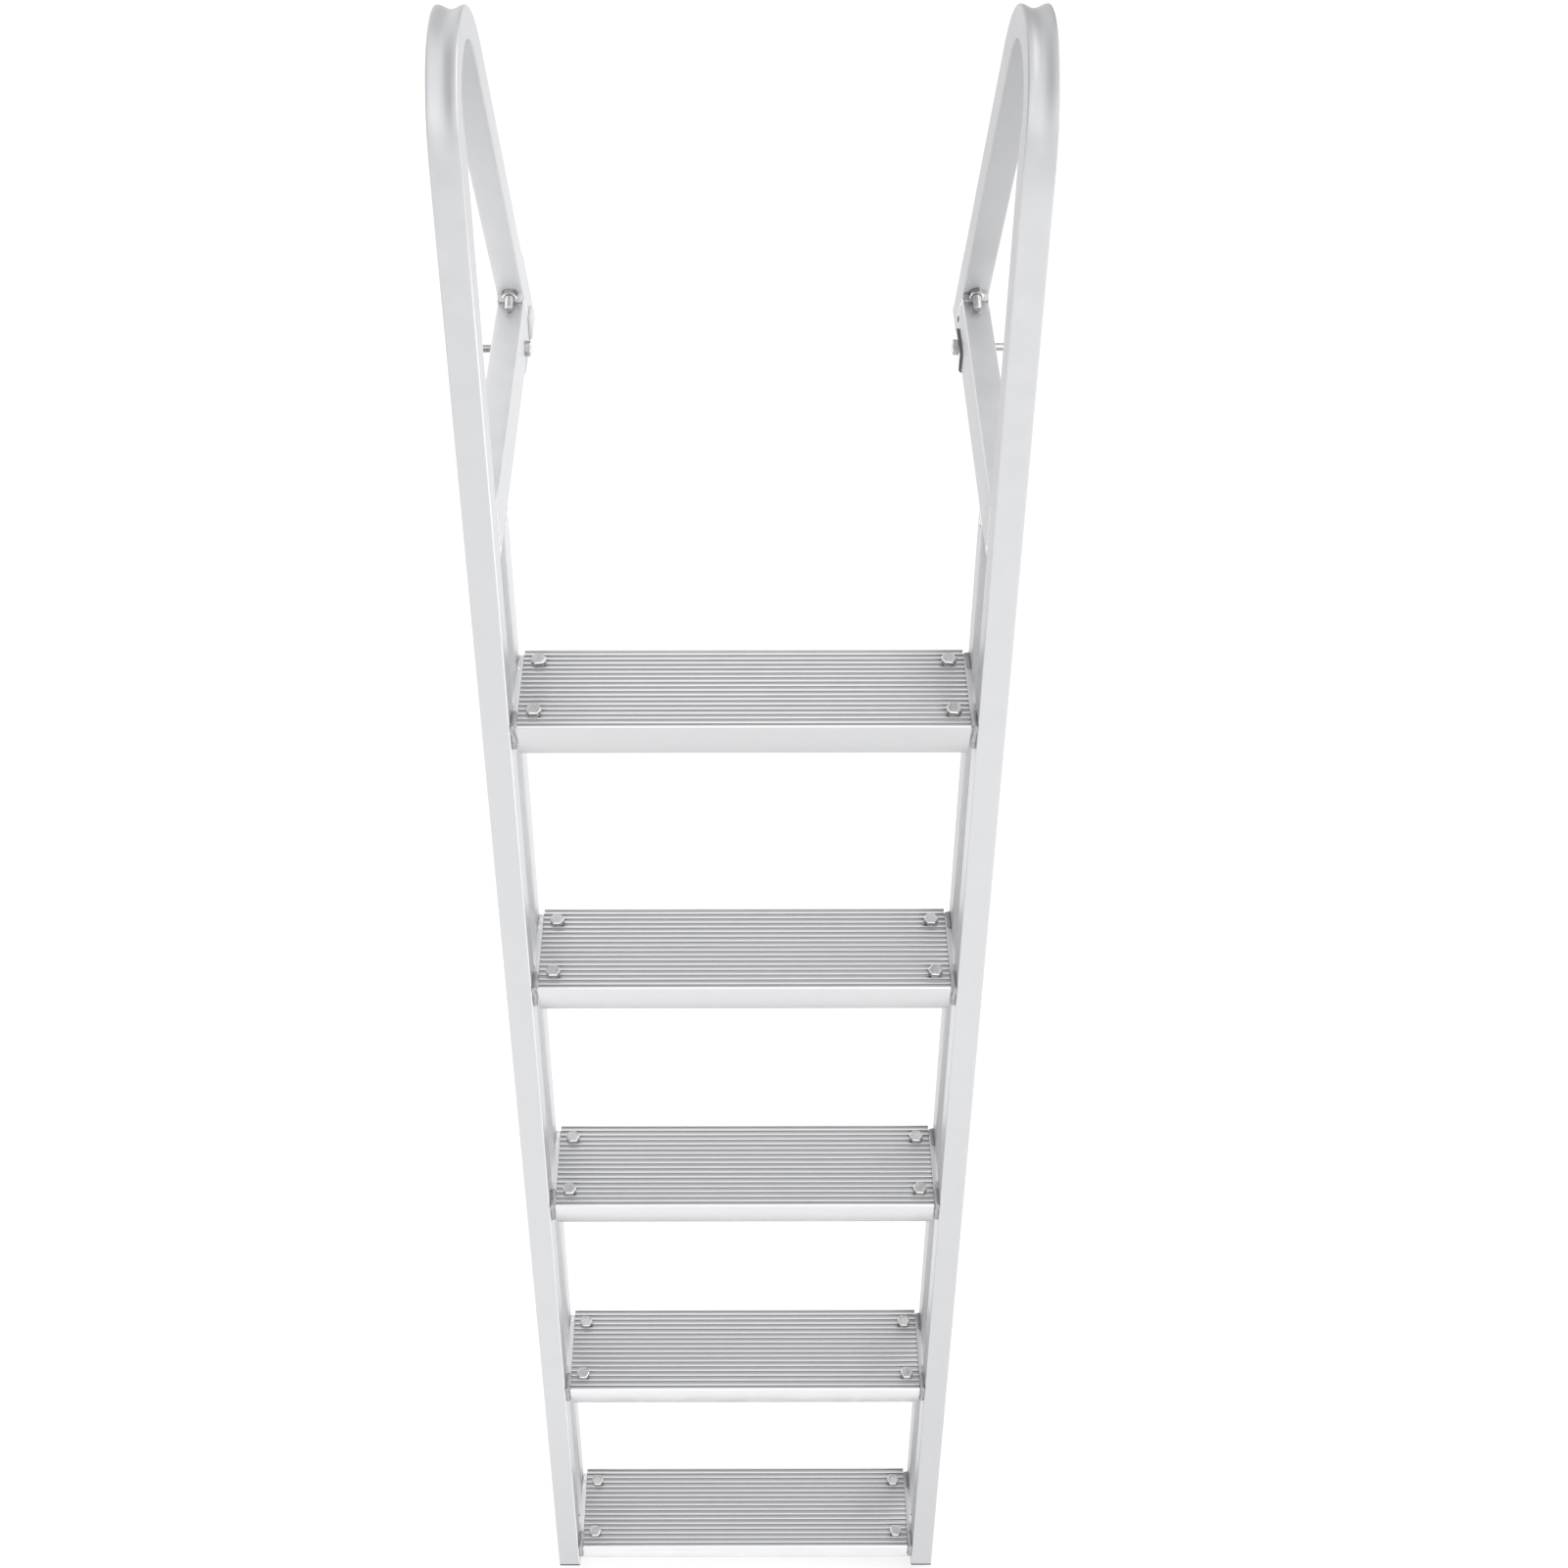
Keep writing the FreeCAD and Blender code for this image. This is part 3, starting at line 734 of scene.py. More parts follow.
# ------------------------------------------------------------ brackets under the treads
def make_tread_bracket(side, k):
    dz = -RISE * k
    dy = dz * math.tan(T)
    mb = Mesh()
    v = round_corners([(1.5, -0.4), (1.5, -29.0), (93.8, -29.0), (93.8, -0.4)],
                      [1.0, 5.0, 5.0, 1.0], 5)
    prism(mb, v, lambda y, z, x: (x, y + dy, z + dz), 200.2, 205.8, 0.5)
    h = round_corners([(4.5, -5.05), (4.5, -10.0), (92.5, -10.0), (92.5, -5.05)],
                      [0.4, 0.8, 0.8, 0.4], 2)
    prism(mb, h, lambda y, z, x: (x, y + dy, z + dz), 166.8, 200.6, 0.5)
    # rolled inner corner under the leaf
    r = [(200.4, -9.6), (197.4, -9.6), (198.6, -10.2), (199.7, -11.4), (200.4, -13.0)]
    prism(mb, r, lambda x, z, y: (x, y + dy, z + dz), 4.8, 92.2, 0.2)
    # front bead: wide over the top of the leaf, then down over its end
    sd = 17 * k + (3 if side == "left" else 0)
    path = []
    for i in range(22):
        f = i / 22
        path.append((203.2 + 0.3 * math.sin(f * 9.0 + k), 21.5 - 21.0 * f,
                     -0.7 + 0.3 * math.sin(f * 5.0 + k)))
    for i in range(31):
        f = i / 30
        path.append((203.9 + 0.35 * math.sin(f * 8.0 + k), 0.5 + 0.3 * math.sin(f * 6.0),
                     -0.9 - 26.5 * f))
    bead(mb, [(p[0], p[1] + dy, p[2] + dz) for p in path], 1.9, 2.6, seed=sd, pitch=3.0,
         mat=1)
    # rear bead: on top of the leaf, its end pulled out to a point; painted highlight on the left, dark weld on the
    # right
    path = []
    for i in range(21):
        f = i / 20
        path.append((204.2 - 1.2 * f * f, 74.0 + 18.0 * f, -0.6 + 0.25 * math.sin(f * 5.0 + k)))
    bead(mb, [(p[0], p[1] + dy, p[2] + dz) for p in path], 1.6, 1.9 if side == "left" else 2.4,
         seed=sd + 5, pitch=3.0, mat=(2 if side == "left" else 4))
    if side == "right":
        lump = round_corners([(205.8, 76.5), (205.8, 95.6), (200.4, 94.2), (200.5, 91.0),
                              (203.4, 83.5)], [0.4, 0.8, 1.2, 1.2, 1.5], 3)
        prism(mb, lump, lambda x, y, z: (x, y + dy, z + dz), -1.6, 0.5, 0.5, mat=4)
    # Thin dark bead along the rail's inner face: a painted shadow line in the gap; plain weld on the lower left
    # brackets.
    path = []
    for i in range(19):
        f = i / 18
        path.append((205.3, 73.0 + 14.0 * f, -1.1 - 0.2 * math.sin(f * 7.0)))
    bead(mb, [(p[0], p[1] + dy, p[2] + dz) for p in path], 0.9, 0.9, seed=sd + 9, pitch=3.0,
         mat=(1 if side == "left" and k > 0 else 3))
    # under side of the leaf at the rear rail, a bead in painted highlight
    path = []
    for i in range(21):
        f = i / 20
        path.append((204.6, 93.9, -3.0 - 22.0 * f))
    bead(mb, [(p[0], p[1] + dy, p[2] + dz) for p in path], 1.8, 1.6, seed=sd + 11, pitch=3.0, mat=2)
    return mb.build("%s_tread_angle_%d" % (side, k + 1), [M_ANGLE if side == "left" else M_ANGLE2, M_WELD, M_WELD_TOP, M_SHEET_EDGE,
                     M_LUMP], "tread_bracket",
                    ("%s_tread_bracket_%d" % (side, k + 1),), mirror=(side == "left"))


def bead(mb, path, r, flat, seed=1, mat=1, pitch=2.6, closed=False):
    """Rippled weld bead: a swept blob with scales, tapered at both ends."""
    n = len(path)
    rings = []
    length = 0.0
    prev = None
    for i, p in enumerate(path):
        if prev:
            length += (Vector(p) - Vector(prev)).length
        prev = p
        a = Vector(path[(i + 1) % n] if closed else path[min(i + 1, n - 1)])
        b = Vector(path[(i - 1) % n] if closed else path[max(i - 1, 0)])
        t = (a - b).normalized()
        ref = Vector((1, 0, 0)) if abs(t.x) < 0.8 else Vector((0, 0, 1))
        u = (ref - t * ref.dot(t)).normalized()
        v = t.cross(u)
        ph = (length / pitch) % 1.0
        scale = 0.86 + 0.2 * math.sin(math.pi * ph) ** 0.7 + 0.07 * (hash1(seed + int(length / pitch)) - 0.5)
        if not closed:
            e = min(i, n - 1 - i) / 2.5
            scale *= math.sqrt(min(1.0, 0.12 + e))
        pts = []
        for j in range(12):
            g = 2.0 * math.pi * j / 12
            pts.append(tuple(Vector(p) + u * (flat * scale * math.cos(g))
                             + v * (r * scale * math.sin(g))))
        rings.append(pts)
    ids = [mb.ring(x) for x in rings]
    for a, b in zip(ids, ids[1:]):
        mb.bridge(a, b, mat)
    if closed:
        mb.bridge(ids[-1], ids[0], mat)
    else:
        mb.fan(ids[0][::-1], mat)
        mb.fan(ids[-1], mat)


# ------------------------------------------------------------ bolts, nuts, threads
def frame_of(axis):
    ax = Vector(axis).normalized()
    ref = Vector((1, 0, 0)) if abs(ax.x) < 0.9 else Vector((0, 1, 0))
    u = (ref - ax * ref.dot(ax)).normalized()
    return ax, u, ax.cross(u)


def hex_solid(mb, c, axis, af, h, turn, bottom=False, washer=0.0, mat=0, edge=2, side=3,
              bevel=False, pick=None, cone=0.955):
    """Hexagon with coned or bevelled end edges, and a washer face under it.

    pick maps (material, angle) to the material of one facet."""
    ax, u, v = frame_of(axis)
    c = Vector(c)
    n = 60
    rc = af / 2.0 * cone

    def radius(g):
        a = (g - math.radians(turn)) % (math.pi / 3.0) - math.pi / 6.0
        return min(af / 2.0 / math.cos(a), af / 2.0 * (1.152 if bevel else 1.135))

    def at(r, g, z):
        return tuple(c + u * (r * math.cos(g)) + v * (r * math.sin(g)) + ax * z)

    gs = [2.0 * math.pi * i / n + math.radians(turn) for i in range(n)]
    tan30 = math.tan(math.radians(30.0))
    z0 = washer
    rings, mats = [], []

    def add(fr, fz, m):
        rings.append([at(fr(radius(g)), g, fz(radius(g))) for g in gs])
        mats.append(m)

    if washer:
        add(lambda r: rc * 0.985, lambda r: 0.0, side)
        add(lambda r: rc * 0.99, lambda r: washer, side)
    if bottom:
        add(lambda r: rc, lambda r: z0, side)
        add(lambda r: r - 0.03, lambda r: z0 + max(0.0, r - rc) * tan30, side)
    else:
        add(lambda r: r - 0.15, lambda r: z0, side)
        add(lambda r: r, lambda r: z0 + 0.15, side)
    if bevel:
        add(lambda r: r, lambda r: h - 0.62, side)
        add(lambda r: r - 0.12, lambda r: h - 0.42, edge)
        add(lambda r: r - 0.75, lambda r: h - 0.08, edge)
        add(lambda r: r - 1.0, lambda r: h, edge)
        add(lambda r: r - 1.25, lambda r: h - 0.05, edge)
        add(lambda r: r - 1.45, lambda r: h - 0.10, mat)
    else:
        add(lambda r: r, lambda r: h - max(0.0, r - rc) * tan30 - 0.16, side)
        add(lambda r: r - 0.14, lambda r: h - max(0.0, r - 0.14 - rc) * tan30, edge)
        add(lambda r: rc + 0.12, lambda r: h - 0.12 * tan30, edge)
        add(lambda r: rc - 0.14, lambda r: h, edge)
        add(lambda r: rc * 0.86, lambda r: h - 0.02, edge)
        add(lambda r: rc * 0.78, lambda r: h - 0.12, mat)
    add(lambda r: rc * 0.35, lambda r: h - 0.14, mat)
    ids = [mb.ring(r) for r in rings]
    for i in range(len(ids) - 1):
        for j in range(n):
            q = (j + 1) % n
            m = mats[i + 1]
            mb.face((ids[i][j], ids[i][q], ids[i + 1][q], ids[i + 1][j]),
                    pick(m, gs[j] + math.pi / n) if pick else m)
    mb.face(ids[0][::-1], side)
    mb.fan(ids[-1], mat)


def threaded(mb, c, axis, d, z0, z1, pitch=1.25, mat=1, plain=0.0, shade=0.0, band=None,
             tip=1):
    """Bar with a helical thread from z0 to z1 and a coned end."""
    ax, u, v = frame_of(axis)
    c = Vector(c)
    n = 36
    r0, r1 = d / 2.0, d / 2.0 - 0.72
    rings = []
    steps = max(4, int((z1 - z0) / pitch * 8))
    for i in range(steps + 1):
        z = z0 + (z1 - z0) * i / steps
        pts = []
        for j in range(n):
            g = 2.0 * math.pi * j / n
            ph = ((z - z0) / pitch - j / n) % 1.0
            tri = 1.0 - abs(2.0 * ph - 1.0)
            r = r1 + (r0 - r1) * min(1.0, tri * 1.35)
            e = min(1.0, max(0.0, (z1 - z) / 1.1))
            r = min(r, r1 - 0.35 + (r0 - r1 + 0.35) * e)
            if z - z0 < plain:
                r = r0
            pts.append(tuple(c + u * (r * math.cos(g)) + v * (r * math.sin(g)) + ax * z))
        rings.append(pts)
    ids = [mb.ring(r) for r in rings]
    for a, b in zip(ids, ids[1:]):
        for j in range(n):
            # w is how far a lengthwise strip faces the angle shade; band picks its material from w, which paints
            # bright and dark reflection stripes.
            w = math.cos(2.0 * math.pi * (j + 0.5) / n - math.radians(shade))
            mb.face((a[j], a[(j + 1) % n], b[(j + 1) % n], b[j]), band(w) if band else mat)
    mb.face(ids[0][::-1], mat)
    mb.fan(ids[-1], tip)


def make_tread_bolts(k):
    dz = -RISE * k
    dy = dz * math.tan(T)
    mb = Mesh()
    for sx in (-1, 1):
        for i, y in enumerate((19.0, 83.0)):
            j = (hash1(k * 7 + i * 3 + (1 if sx > 0 else 0)) - 0.5) * 5.0
            turn = (3.0 + j) * (1 if sx < 0 else -1)
            p = (sx * 186.0, y + dy, dz)
            # The chamfer is bright only on the side facing the middle and front: a painted highlight; elsewhere it
            # takes the top's colour.
            g0 = math.radians(-45.0 if sx < 0 else -135.0)
            hex_solid(mb, p, (0, 0, 1), 13.0, 5.3, turn, washer=0.35, bevel=True,
                      pick=lambda m, g: 0 if m == 2 and math.cos(g - g0) < 0.3 else m)
            threaded(mb, (p[0], p[1], p[2] - 20.0), (0, 0, -1), 8.0, -19.6, 2.0)
            hex_solid(mb, (p[0], p[1], p[2] - 10.0), (0, 0, -1), 13.0, 6.5, 20.0 + 3 * j, bottom=True)
    return mb.build("tread_%d_hex_bolts" % (k + 1), [M_BOLT, M_THREAD, M_BOLT_EDGE, M_BOLT_SIDE, M_THREAD_DARK], "fastener",
                    ("tread_bolts_%d" % (k + 1),), sharp=24.0)


def make_arm_bolt(side):
    mb = Mesh()
    y, z = 354.5, (150.5 if side == "left" else 151.1)
    xh = XI - (FOOT_T if side == "right" else 0.0)

    # On the left head one flat is lit in bolt colour (painted light); the other flats, and all on the right, keep the
    # painted shade.
    def flat(m, g):
        if m != 3 or side == "right":
            return m
        return 0 if 194.0 < math.degrees(g) % 360.0 < 254.0 else 3

    hex_solid(mb, (xh, y, z), (-1, 0, 0), 13.0, 5.3, 14.0, washer=0.35, pick=flat)
    hex_solid(mb, (XO, y, z), (1, 0, 0), 13.0, 6.5, 22.0, bottom=True)

    # Lengthwise strips in bright thread, bolt colour and flat shade: painted reflections.
    def band(w):
        if side == "left":
            return 0 if w > 0.3 else (1 if w > -0.05 else 3)
        return 3 if w > 0.6 else (1 if w > -0.35 else 0)

    threaded(mb, (xh, y, z), (1, 0, 0), 8.0, 0.2, XO - xh + (23.0 if side == "left" else 19.6),
             shade=43.0, band=band)
    return mb.build("%s_arm_hex_bolt" % side, [M_BOLT, M_THREAD, M_BOLT_EDGE, M_BOLT_SIDE, M_THREAD_DARK], "fastener",
                    ("%s_arm_bolt" % side,), sharp=24.0, mirror=(side == "left"))


def make_leg_bolt(side):
    mb = Mesh()
    z = 197.8
    ln = Vector((0.0, LN[0], LN[1]))
    q = math.radians(17.0)
    ax = Vector((0.0, -math.cos(q), -math.sin(q)))
    p = Vector((XM, leg_front_y(z), z))
    turn = 0.0 if side == "left" else 14.0

    # The chamfer is bright only at the two sides, a painted highlight; the flats are dark, a painted shade, except a
    # mid grey one on the left and one lit in bolt colour on the right.
    def facet(m, g):
        d = (math.degrees(g) - turn) % 360.0
        if m == 2:
            return 2 if abs(math.sin(g)) < 0.75 else 3
        if m != 3:
            return m
        if side == "left":
            return 3 if 60.0 < d < 120.0 else 4
        return 0 if d < 60.0 else 4

    # A dark hexagon plate a little wider than the nut, under it: a painted contact shadow around the nut.
    hex_solid(mb, p + ax * -0.4, ax, 14.4, 1.0, turn, side=4, edge=4, mat=4)
    hex_solid(mb, p + ax * -0.4, ax, 13.0, 6.9, turn, pick=facet, cone=0.88)
    hex_solid(mb, p + ln * (DEPTH + FOOT_T), ln, 13.0, 5.3, 10.0, washer=0.35)

    # Lengthwise strips of bright thread, bolt colour, flat shade and dark: painted reflections.
    def band(w):
        if abs(w) > 0.93:
            return 4
        if side == "left":
            return 1 if w > 0.25 else (3 if w > -0.05 else 0)
        return 3 if w < -0.35 or -0.05 < w < 0.1 else (0 if w < -0.05 or w > 0.55 else 1)

    threaded(mb, p, ax, 8.0, -10.0, 20.2 if side == "left" else 21.0, band=band, tip=3)
    return mb.build("%s_leg_hex_bolt" % side, [M_BOLT, M_THREAD, M_BOLT_EDGE, M_BOLT_SIDE, M_THREAD_DARK], "fastener",
                    ("%s_leg_bolt" % side,), sharp=24.0, mirror=(side == "left"))


# ------------------------------------------------------------ deck bracket
def make_dock_bracket(side):
    """Sheet cradle. The tab stands in front on the right, behind on the left."""
    def rear(z, off):
        return 414.0 + (187.0 - z) * math.tan(A) + off / math.cos(A)

    mb = Mesh()
    zf = ARM_BOT - FOOT_T
    xi = XI - FOOT_T
    # foot under arm and leg
    o = round_corners([(XI - 0.4, 335.0), (XO, 335.0), (XO, rear(ARM_BOT, 2.9)),
                       (XI - 0.4, rear(ARM_BOT, 2.9))], [0.0, 2.0, 0.0, 0.0], 4)
    prism(mb, o, lambda x, y, z: (x, y, z), zf, ARM_BOT - 0.05, 0.4, 0, 0)
    # bent tab: section in (X, Z), pushed along Y, top front corner rounded
    if side == "right":
        ya, yb, zt, lean = 335.0, 375.0, 157.7, 0.0
    else:
        ya, yb, zt, lean = 389.0, 424.0, 159.0, 0.45
    ro, ri = 4.2, 1.2
    cx, cz = xi + ro, zf + ro
    sec = [(cx + 1.0, zf), (cx + 1.0, ARM_BOT - 0.1)]
    for i in range(7):
        g = math.radians(270.0 - 90.0 * i / 6.0)
        sec.append((cx + ri * math.cos(g), cz + ri * math.sin(g)))
    sec += [(XI - 0.05, zt - 0.4), (XI - 0.4, zt), (xi + 0.4, zt), (xi, zt - 0.4)]
    for i in range(7):
        g = math.radians(180.0 + 90.0 * i / 6.0)
        sec.append((cx + ro * math.cos(g), cz + ro * math.sin(g)))
    if area2(sec) < 0:
        sec = sec[::-1]

    def tab_ring(t, ins):
        o = inset_outline(sec, ins)
        pts = []
        for x, z in o:
            h = max(0.0, (z - (zf + ro)) / (zt - zf - ro))
            y0 = ya + (1.6 * max(0.0, (h - 0.93) / 0.07) ** 2 if side == "right" else 3.0 * h)
            y1 = yb - lean * (z - zf)
            if z > zf + ro and side == "right":
                y1 = yb + 1.0
            pts.append((x, y0 + (y1 - y0) * t + (ins if t < 0.5 else -ins) * 0.0, z))
        return pts

    rings = [tab_ring(0.0, 0.35), tab_ring(0.004, 0.1), tab_ring(0.01, 0.0), tab_ring(0.25, 0.0),
             tab_ring(0.5, 0.0), tab_ring(0.75, 0.0), tab_ring(0.99, 0.0), tab_ring(0.996, 0.1),
             tab_ring(1.0, 0.35)]
    ids = [mb.ring(r) for r in rings]
    # The top edge faces and both end faces take material 1: painted highlight on the left, painted shade on the
    # right.
    em = 1
    for a, b in zip(ids, ids[1:]):
        n = len(a)
        for i in range(n):
            j = (i + 1) % n
            zs = [mb.v[q][2] for q in (a[i], a[j])]
            mb.face((a[i], a[j], b[j], b[i]), em if min(zs) > zt - 0.6 else 0)
    mb.face(ids[0][::-1], em)
    mb.face(ids[-1], em)
    # back plate on the rear of the leg
    o = [(XI, ARM_BOT - 1.0), (XO, ARM_BOT - 1.0), (XO, 226.0), (XI, 226.0)]
    o = round_corners(o, [0.0, 0.0, 4.0, 4.0], 5)
    prism(mb, o, lambda x, z, d: (x, rear(z, d), z), 0.05, 3.0, 0.35)
    return mb.build("%s_dock_cradle" % side, [M_SIDE if side == "left" else M_SHEET,
                     M_TAB if side == "left" else M_SHEET_EDGE],
                    "dock_bracket",
                    ("%s_dock_bracket" % side,), mirror=(side == "left"))


# ------------------------------------------------------------ end caps
def make_cap(side, which, n0):
    mb = Mesh()
    o = round_corners([(-12.5, n0), (12.5, n0), (12.5, n0 + 30.0), (-12.5, n0 + 30.0)],
                      [1.4] * 4, 5)
    prism(mb, o, lambda x, m, s: rail_point(x, m, s), S0 - 2.5, S0 - 0.02, 0.6)
    i = round_corners([(-10.2, n0 + 2.3), (10.2, n0 + 2.3), (10.2, n0 + 27.7), (-10.2, n0 + 27.7)],
                      [0.8] * 4, 3)
    prism(mb, i, lambda x, m, s: rail_point(x, m, s), S0 - 1.0, S0 + 14.0, 0.6)
    return mb.build("%s_%s_foot_plug" % (side, which), [M_CAP], "end_cap",
                    ("%s_%s_end_cap" % (side, which),), mirror=(side == "left"))


# ------------------------------------------------------------ weld beads on the frame
def spot(mb, p, r, mat=5, stretch=(1.0, 1.0, 1.0)):
    """Small round blob of weld metal."""
    rings = []
    for i in range(1, 8):
        f = math.pi * i / 8.0
        rings.append([(p[0] + r * stretch[0] * math.sin(f) * math.cos(2 * math.pi * j / 12),
                       p[1] + r * stretch[1] * math.sin(f) * math.sin(2 * math.pi * j / 12),
                       p[2] + r * stretch[2] * math.cos(f)) for j in range(12)])
    ids = [mb.ring(x) for x in rings]
    for a, b in zip(ids, ids[1:]):
        mb.bridge(a, b, mat)
    mb.fan(ids[0][::-1], mat)
    mb.fan(ids[-1], mat)


def make_frame_welds(side):
    mb = Mesh()
    sgn = 1 if side == "right" else 2

    def yf(z):
        return (DEPTH + z * math.sin(T)) / math.cos(T)

    # arm on the front rail: across the top, down both sides, under the arm, in the bright spot material (painted
    # highlight)
    n = 22
    bead(mb, [(XI + 2.0 + 21.0 * i / n, yf(ARM_TOP) + 0.5, ARM_TOP + 0.2) for i in range(n + 1)],
         1.2, 1.0, seed=3 * sgn, mat=5)
    for x, off in ((XI, 5), (XO, 7)):
        path = []
        m = 40
        for i in range(m + 1):
            z = ARM_TOP - 1.0 - 46.0 * i / m
            path.append((x, yf(z) + 0.2 + 0.35 * math.sin(i * 0.7 + off), z))
        bead(mb, path, 0.8, 0.35, seed=off * sgn, mat=5)
        for q, z in enumerate((180.0, 171.0, 160.0, 152.0)):
            if hash1(q + off * sgn) > 0.3:
                spot(mb, (x, yf(z) + 0.3, z), 1.0, stretch=(0.6, 1.0, 1.4))
        spot(mb, (x, yf(148.5) + 0.6, 148.5), 1.7, stretch=(0.7, 1.0, 2.2))
    # rear rail under the arm, beads and spots in the bright spot material (painted highlight)
    y0 = (70.0 + ARM_BOT * math.sin(T)) / math.cos(T)
    y1 = (100.0 + ARM_BOT * math.sin(T)) / math.cos(T)
    for y, off in ((y0 - 0.4, 11), (y1 + 0.4, 13)):
        bead(mb, [(XI + 1.5 + 22.0 * i / n, y, ARM_BOT - 0.4) for i in range(n + 1)],
             1.6, 1.4, seed=off * sgn, mat=5)
    for x, off in ((XI, 15), (XO, 19)):
        m = 28
        bead(mb, [(x, y0 + (y1 - y0) * i / m, ARM_BOT - 0.2 + 0.3 * math.sin(i * 0.8 + off))
                  for i in range(m + 1)], 1.0, 0.5, seed=off * sgn, mat=5)
        spot(mb, (x, y0 + (11.0 if side == "right" else 22.0), ARM_BOT - 0.6), 2.0,
             stretch=(0.8, 1.3, 1.5))
    if side == "right":
        spot(mb, (XI, y0 + 4.0, ARM_BOT - 1.0), 1.2, mat=4, stretch=(0.8, 1.2, 1.2))
        # small black spot beside the weld between arm and leg
        spot(mb, (XI, 389.4, 159.0), 2.2, mat=4, stretch=(0.45, 0.85, 1.5))
        # Bright spot at the top of the knee: painted highlight.
        spot(mb, (XI + 0.3, 373.5, 187.3), 2.6, stretch=(0.8, 1.0, 0.8))
        # dark lump left of the nut: a painted shadow of the nut, as a thin raised patch
        yb, zb = leg_front_y(ARM_TOP), ARM_TOP + 6.5

        def surface(z):
            f = min(1.0, (z - ARM_TOP) / 6.5)
            if f >= 1.0:
                return leg_front_y(z)
            return yb - 6.9 + (leg_front_y(zb) - yb + 6.9) * f - 1.0 * math.sin(math.pi * f)

        rings = []
        for i in range(13):
            z = 190.4 + 11.0 * i / 12.0
            thick = 0.7 * math.sqrt(max(0.02, math.sin(math.pi * (i + 0.3) / 12.6)))
            x0 = XI + 0.9 + 7.0 * smooth((z - 195.5) / 7.0)
            x1 = XI + 9.8
            y = surface(z)
            rings.append([(x0, y + 0.5, z), (x0 + 0.2, y - thick * 0.5, z),
                          (x0 + 0.8, y - thick, z), (x1 - 0.8, y - thick, z),
                          (x1 - 0.2, y - thick * 0.5, z), (x1, y + 0.5, z)])
        mb.loft(rings, 6)
    # leg on the arm: a ground fillet in painted shade, a dark toe (painted shade in the crease), and a spot at each
    # end in painted highlight
    y = leg_front_y(ARM_TOP)
    zt = ARM_TOP + 6.5
    fil = [(y + 1.5, ARM_TOP - 0.6), (y - 6.6, ARM_TOP - 0.6), (y - 6.9, ARM_TOP + 0.05)]
    for i in range(1, 6):
        f = i / 6.0
        fil.append((y - 6.9 + (leg_front_y(zt) - y + 6.9) * f - 1.2 * math.sin(math.pi * f),
                    ARM_TOP + 6.5 * f - 1.4 * math.sin(math.pi * f)))
    fil += [(leg_front_y(zt) - 0.05, zt), (leg_front_y(zt) + 1.5, zt)]
    prism(mb, fil, lambda a, z, x: (x, a, z), XI + 0.4, XO - 0.4, 0.5, mat=3)
    bead(mb, [(XI + 1.6 + 21.8 * i / n, y - 7.2, ARM_TOP) for i in range(n + 1)],
         0.6, 0.6, seed=23 * sgn, mat=2, pitch=4.0)
    for x in (XI + 0.6, XO - 0.6):
        d = 1.0 if x > XM else -1.0
        bead(mb, [(x + d * (-1.4 + 0.45 * i), y - 6.6, ARM_TOP + 0.4 - 0.25 * max(0, i - 4) ** 1.4)
                  for i in range(8)], *((2.2, 2.2) if side == "right" and x < XM else (1.5, 1.5)),
             seed=int(x) * sgn, mat=5, pitch=3.0)
        bead(mb, [(x - d * (2.2 + 0.3 * i), y - 7.2, ARM_TOP - 0.1) for i in range(8)],
             0.6, 0.6, seed=int(x) * sgn + 1, mat=4, pitch=3.0)
    for x, off in ((XI - 0.05, 25), (XO + 0.05, 29)):
        m = 30
        path = []
        for i in range(m + 1):
            z = ARM_TOP + 1.0 - 30.0 * i / m
            path.append((x, leg_front_y(z) - 0.2 + 0.3 * math.sin(i * 0.9 + off), z))
        bead(mb, path, 0.7, 0.3, seed=off * sgn, mat=5)
    return mb.build("%s_frame_welds" % side, [M_WELD_TOP, M_WELD, M_TOE, M_SHADE2 if side == "left" else M_SHADE,
                     M_BLACK_SPOT, M_SPOT, M_LUMP], "tube", mirror=(side == "left"), sharp=50.0)


for side in ("left", "right"):
    mir = side == "left"
    make_handrail(side + "_handrail_tube", side + "_handrail", mir)
    make_rear_rail(side + "_rear_tube", side + "_rear_rail", mir)
    make_arm(side + "_arm_tube", side + "_deck_arm", mir)
    make_dock_bracket(side)
    make_arm_bolt(side)
    make_leg_bolt(side)
    make_cap(side, "front", 0.0)
    make_cap(side, "rear", 70.0)
    make_frame_welds(side)
    for k in range(5):
        make_tread_bracket(side, k)
for k in range(5):
    make_tread(k)
    make_tread_bolts(k)

# ------------------------------------------------------------ floor, world, lights
z_floor = cad_box[0][2]
fm, fnt, fb = nodes_of("pale_floor")
fco = fnt.nodes.new("ShaderNodeTexCoord")
fno = add_noise(fnt, fco, 3.0, 2.0, 0.5)
fnt.links.new(mixc(fnt, fno.outputs["Fac"], (0.48, 0.48, 0.48), (0.50, 0.50, 0.50)),
              fb.inputs["Base Color"])
fb.inputs["Roughness"].default_value = 0.9
# The floor glows, a painted light: a base glow everywhere, more to the right and near the front left, which the metal
# reflects.
fb.inputs["Emission Color"].default_value = (1, 1, 1, 1)
fsep = fnt.nodes.new("ShaderNodeSeparateXYZ")
fnt.links.new(fco.outputs["Object"], fsep.inputs["Vector"])
f_left = math_node(fnt, "MULTIPLY", ramp(fnt, fsep.outputs["X"], -0.4, 0.4, 0.10, 0.0),
                   ramp(fnt, fsep.outputs["Y"], 0.1, 0.5, 1.0, 0.0))
f_right = ramp(fnt, fsep.outputs["X"], 0.8, 1.8, 0.57, 0.70)
fnt.links.new(math_node(fnt, "ADD", f_left, f_right), fb.inputs["Emission Strength"])

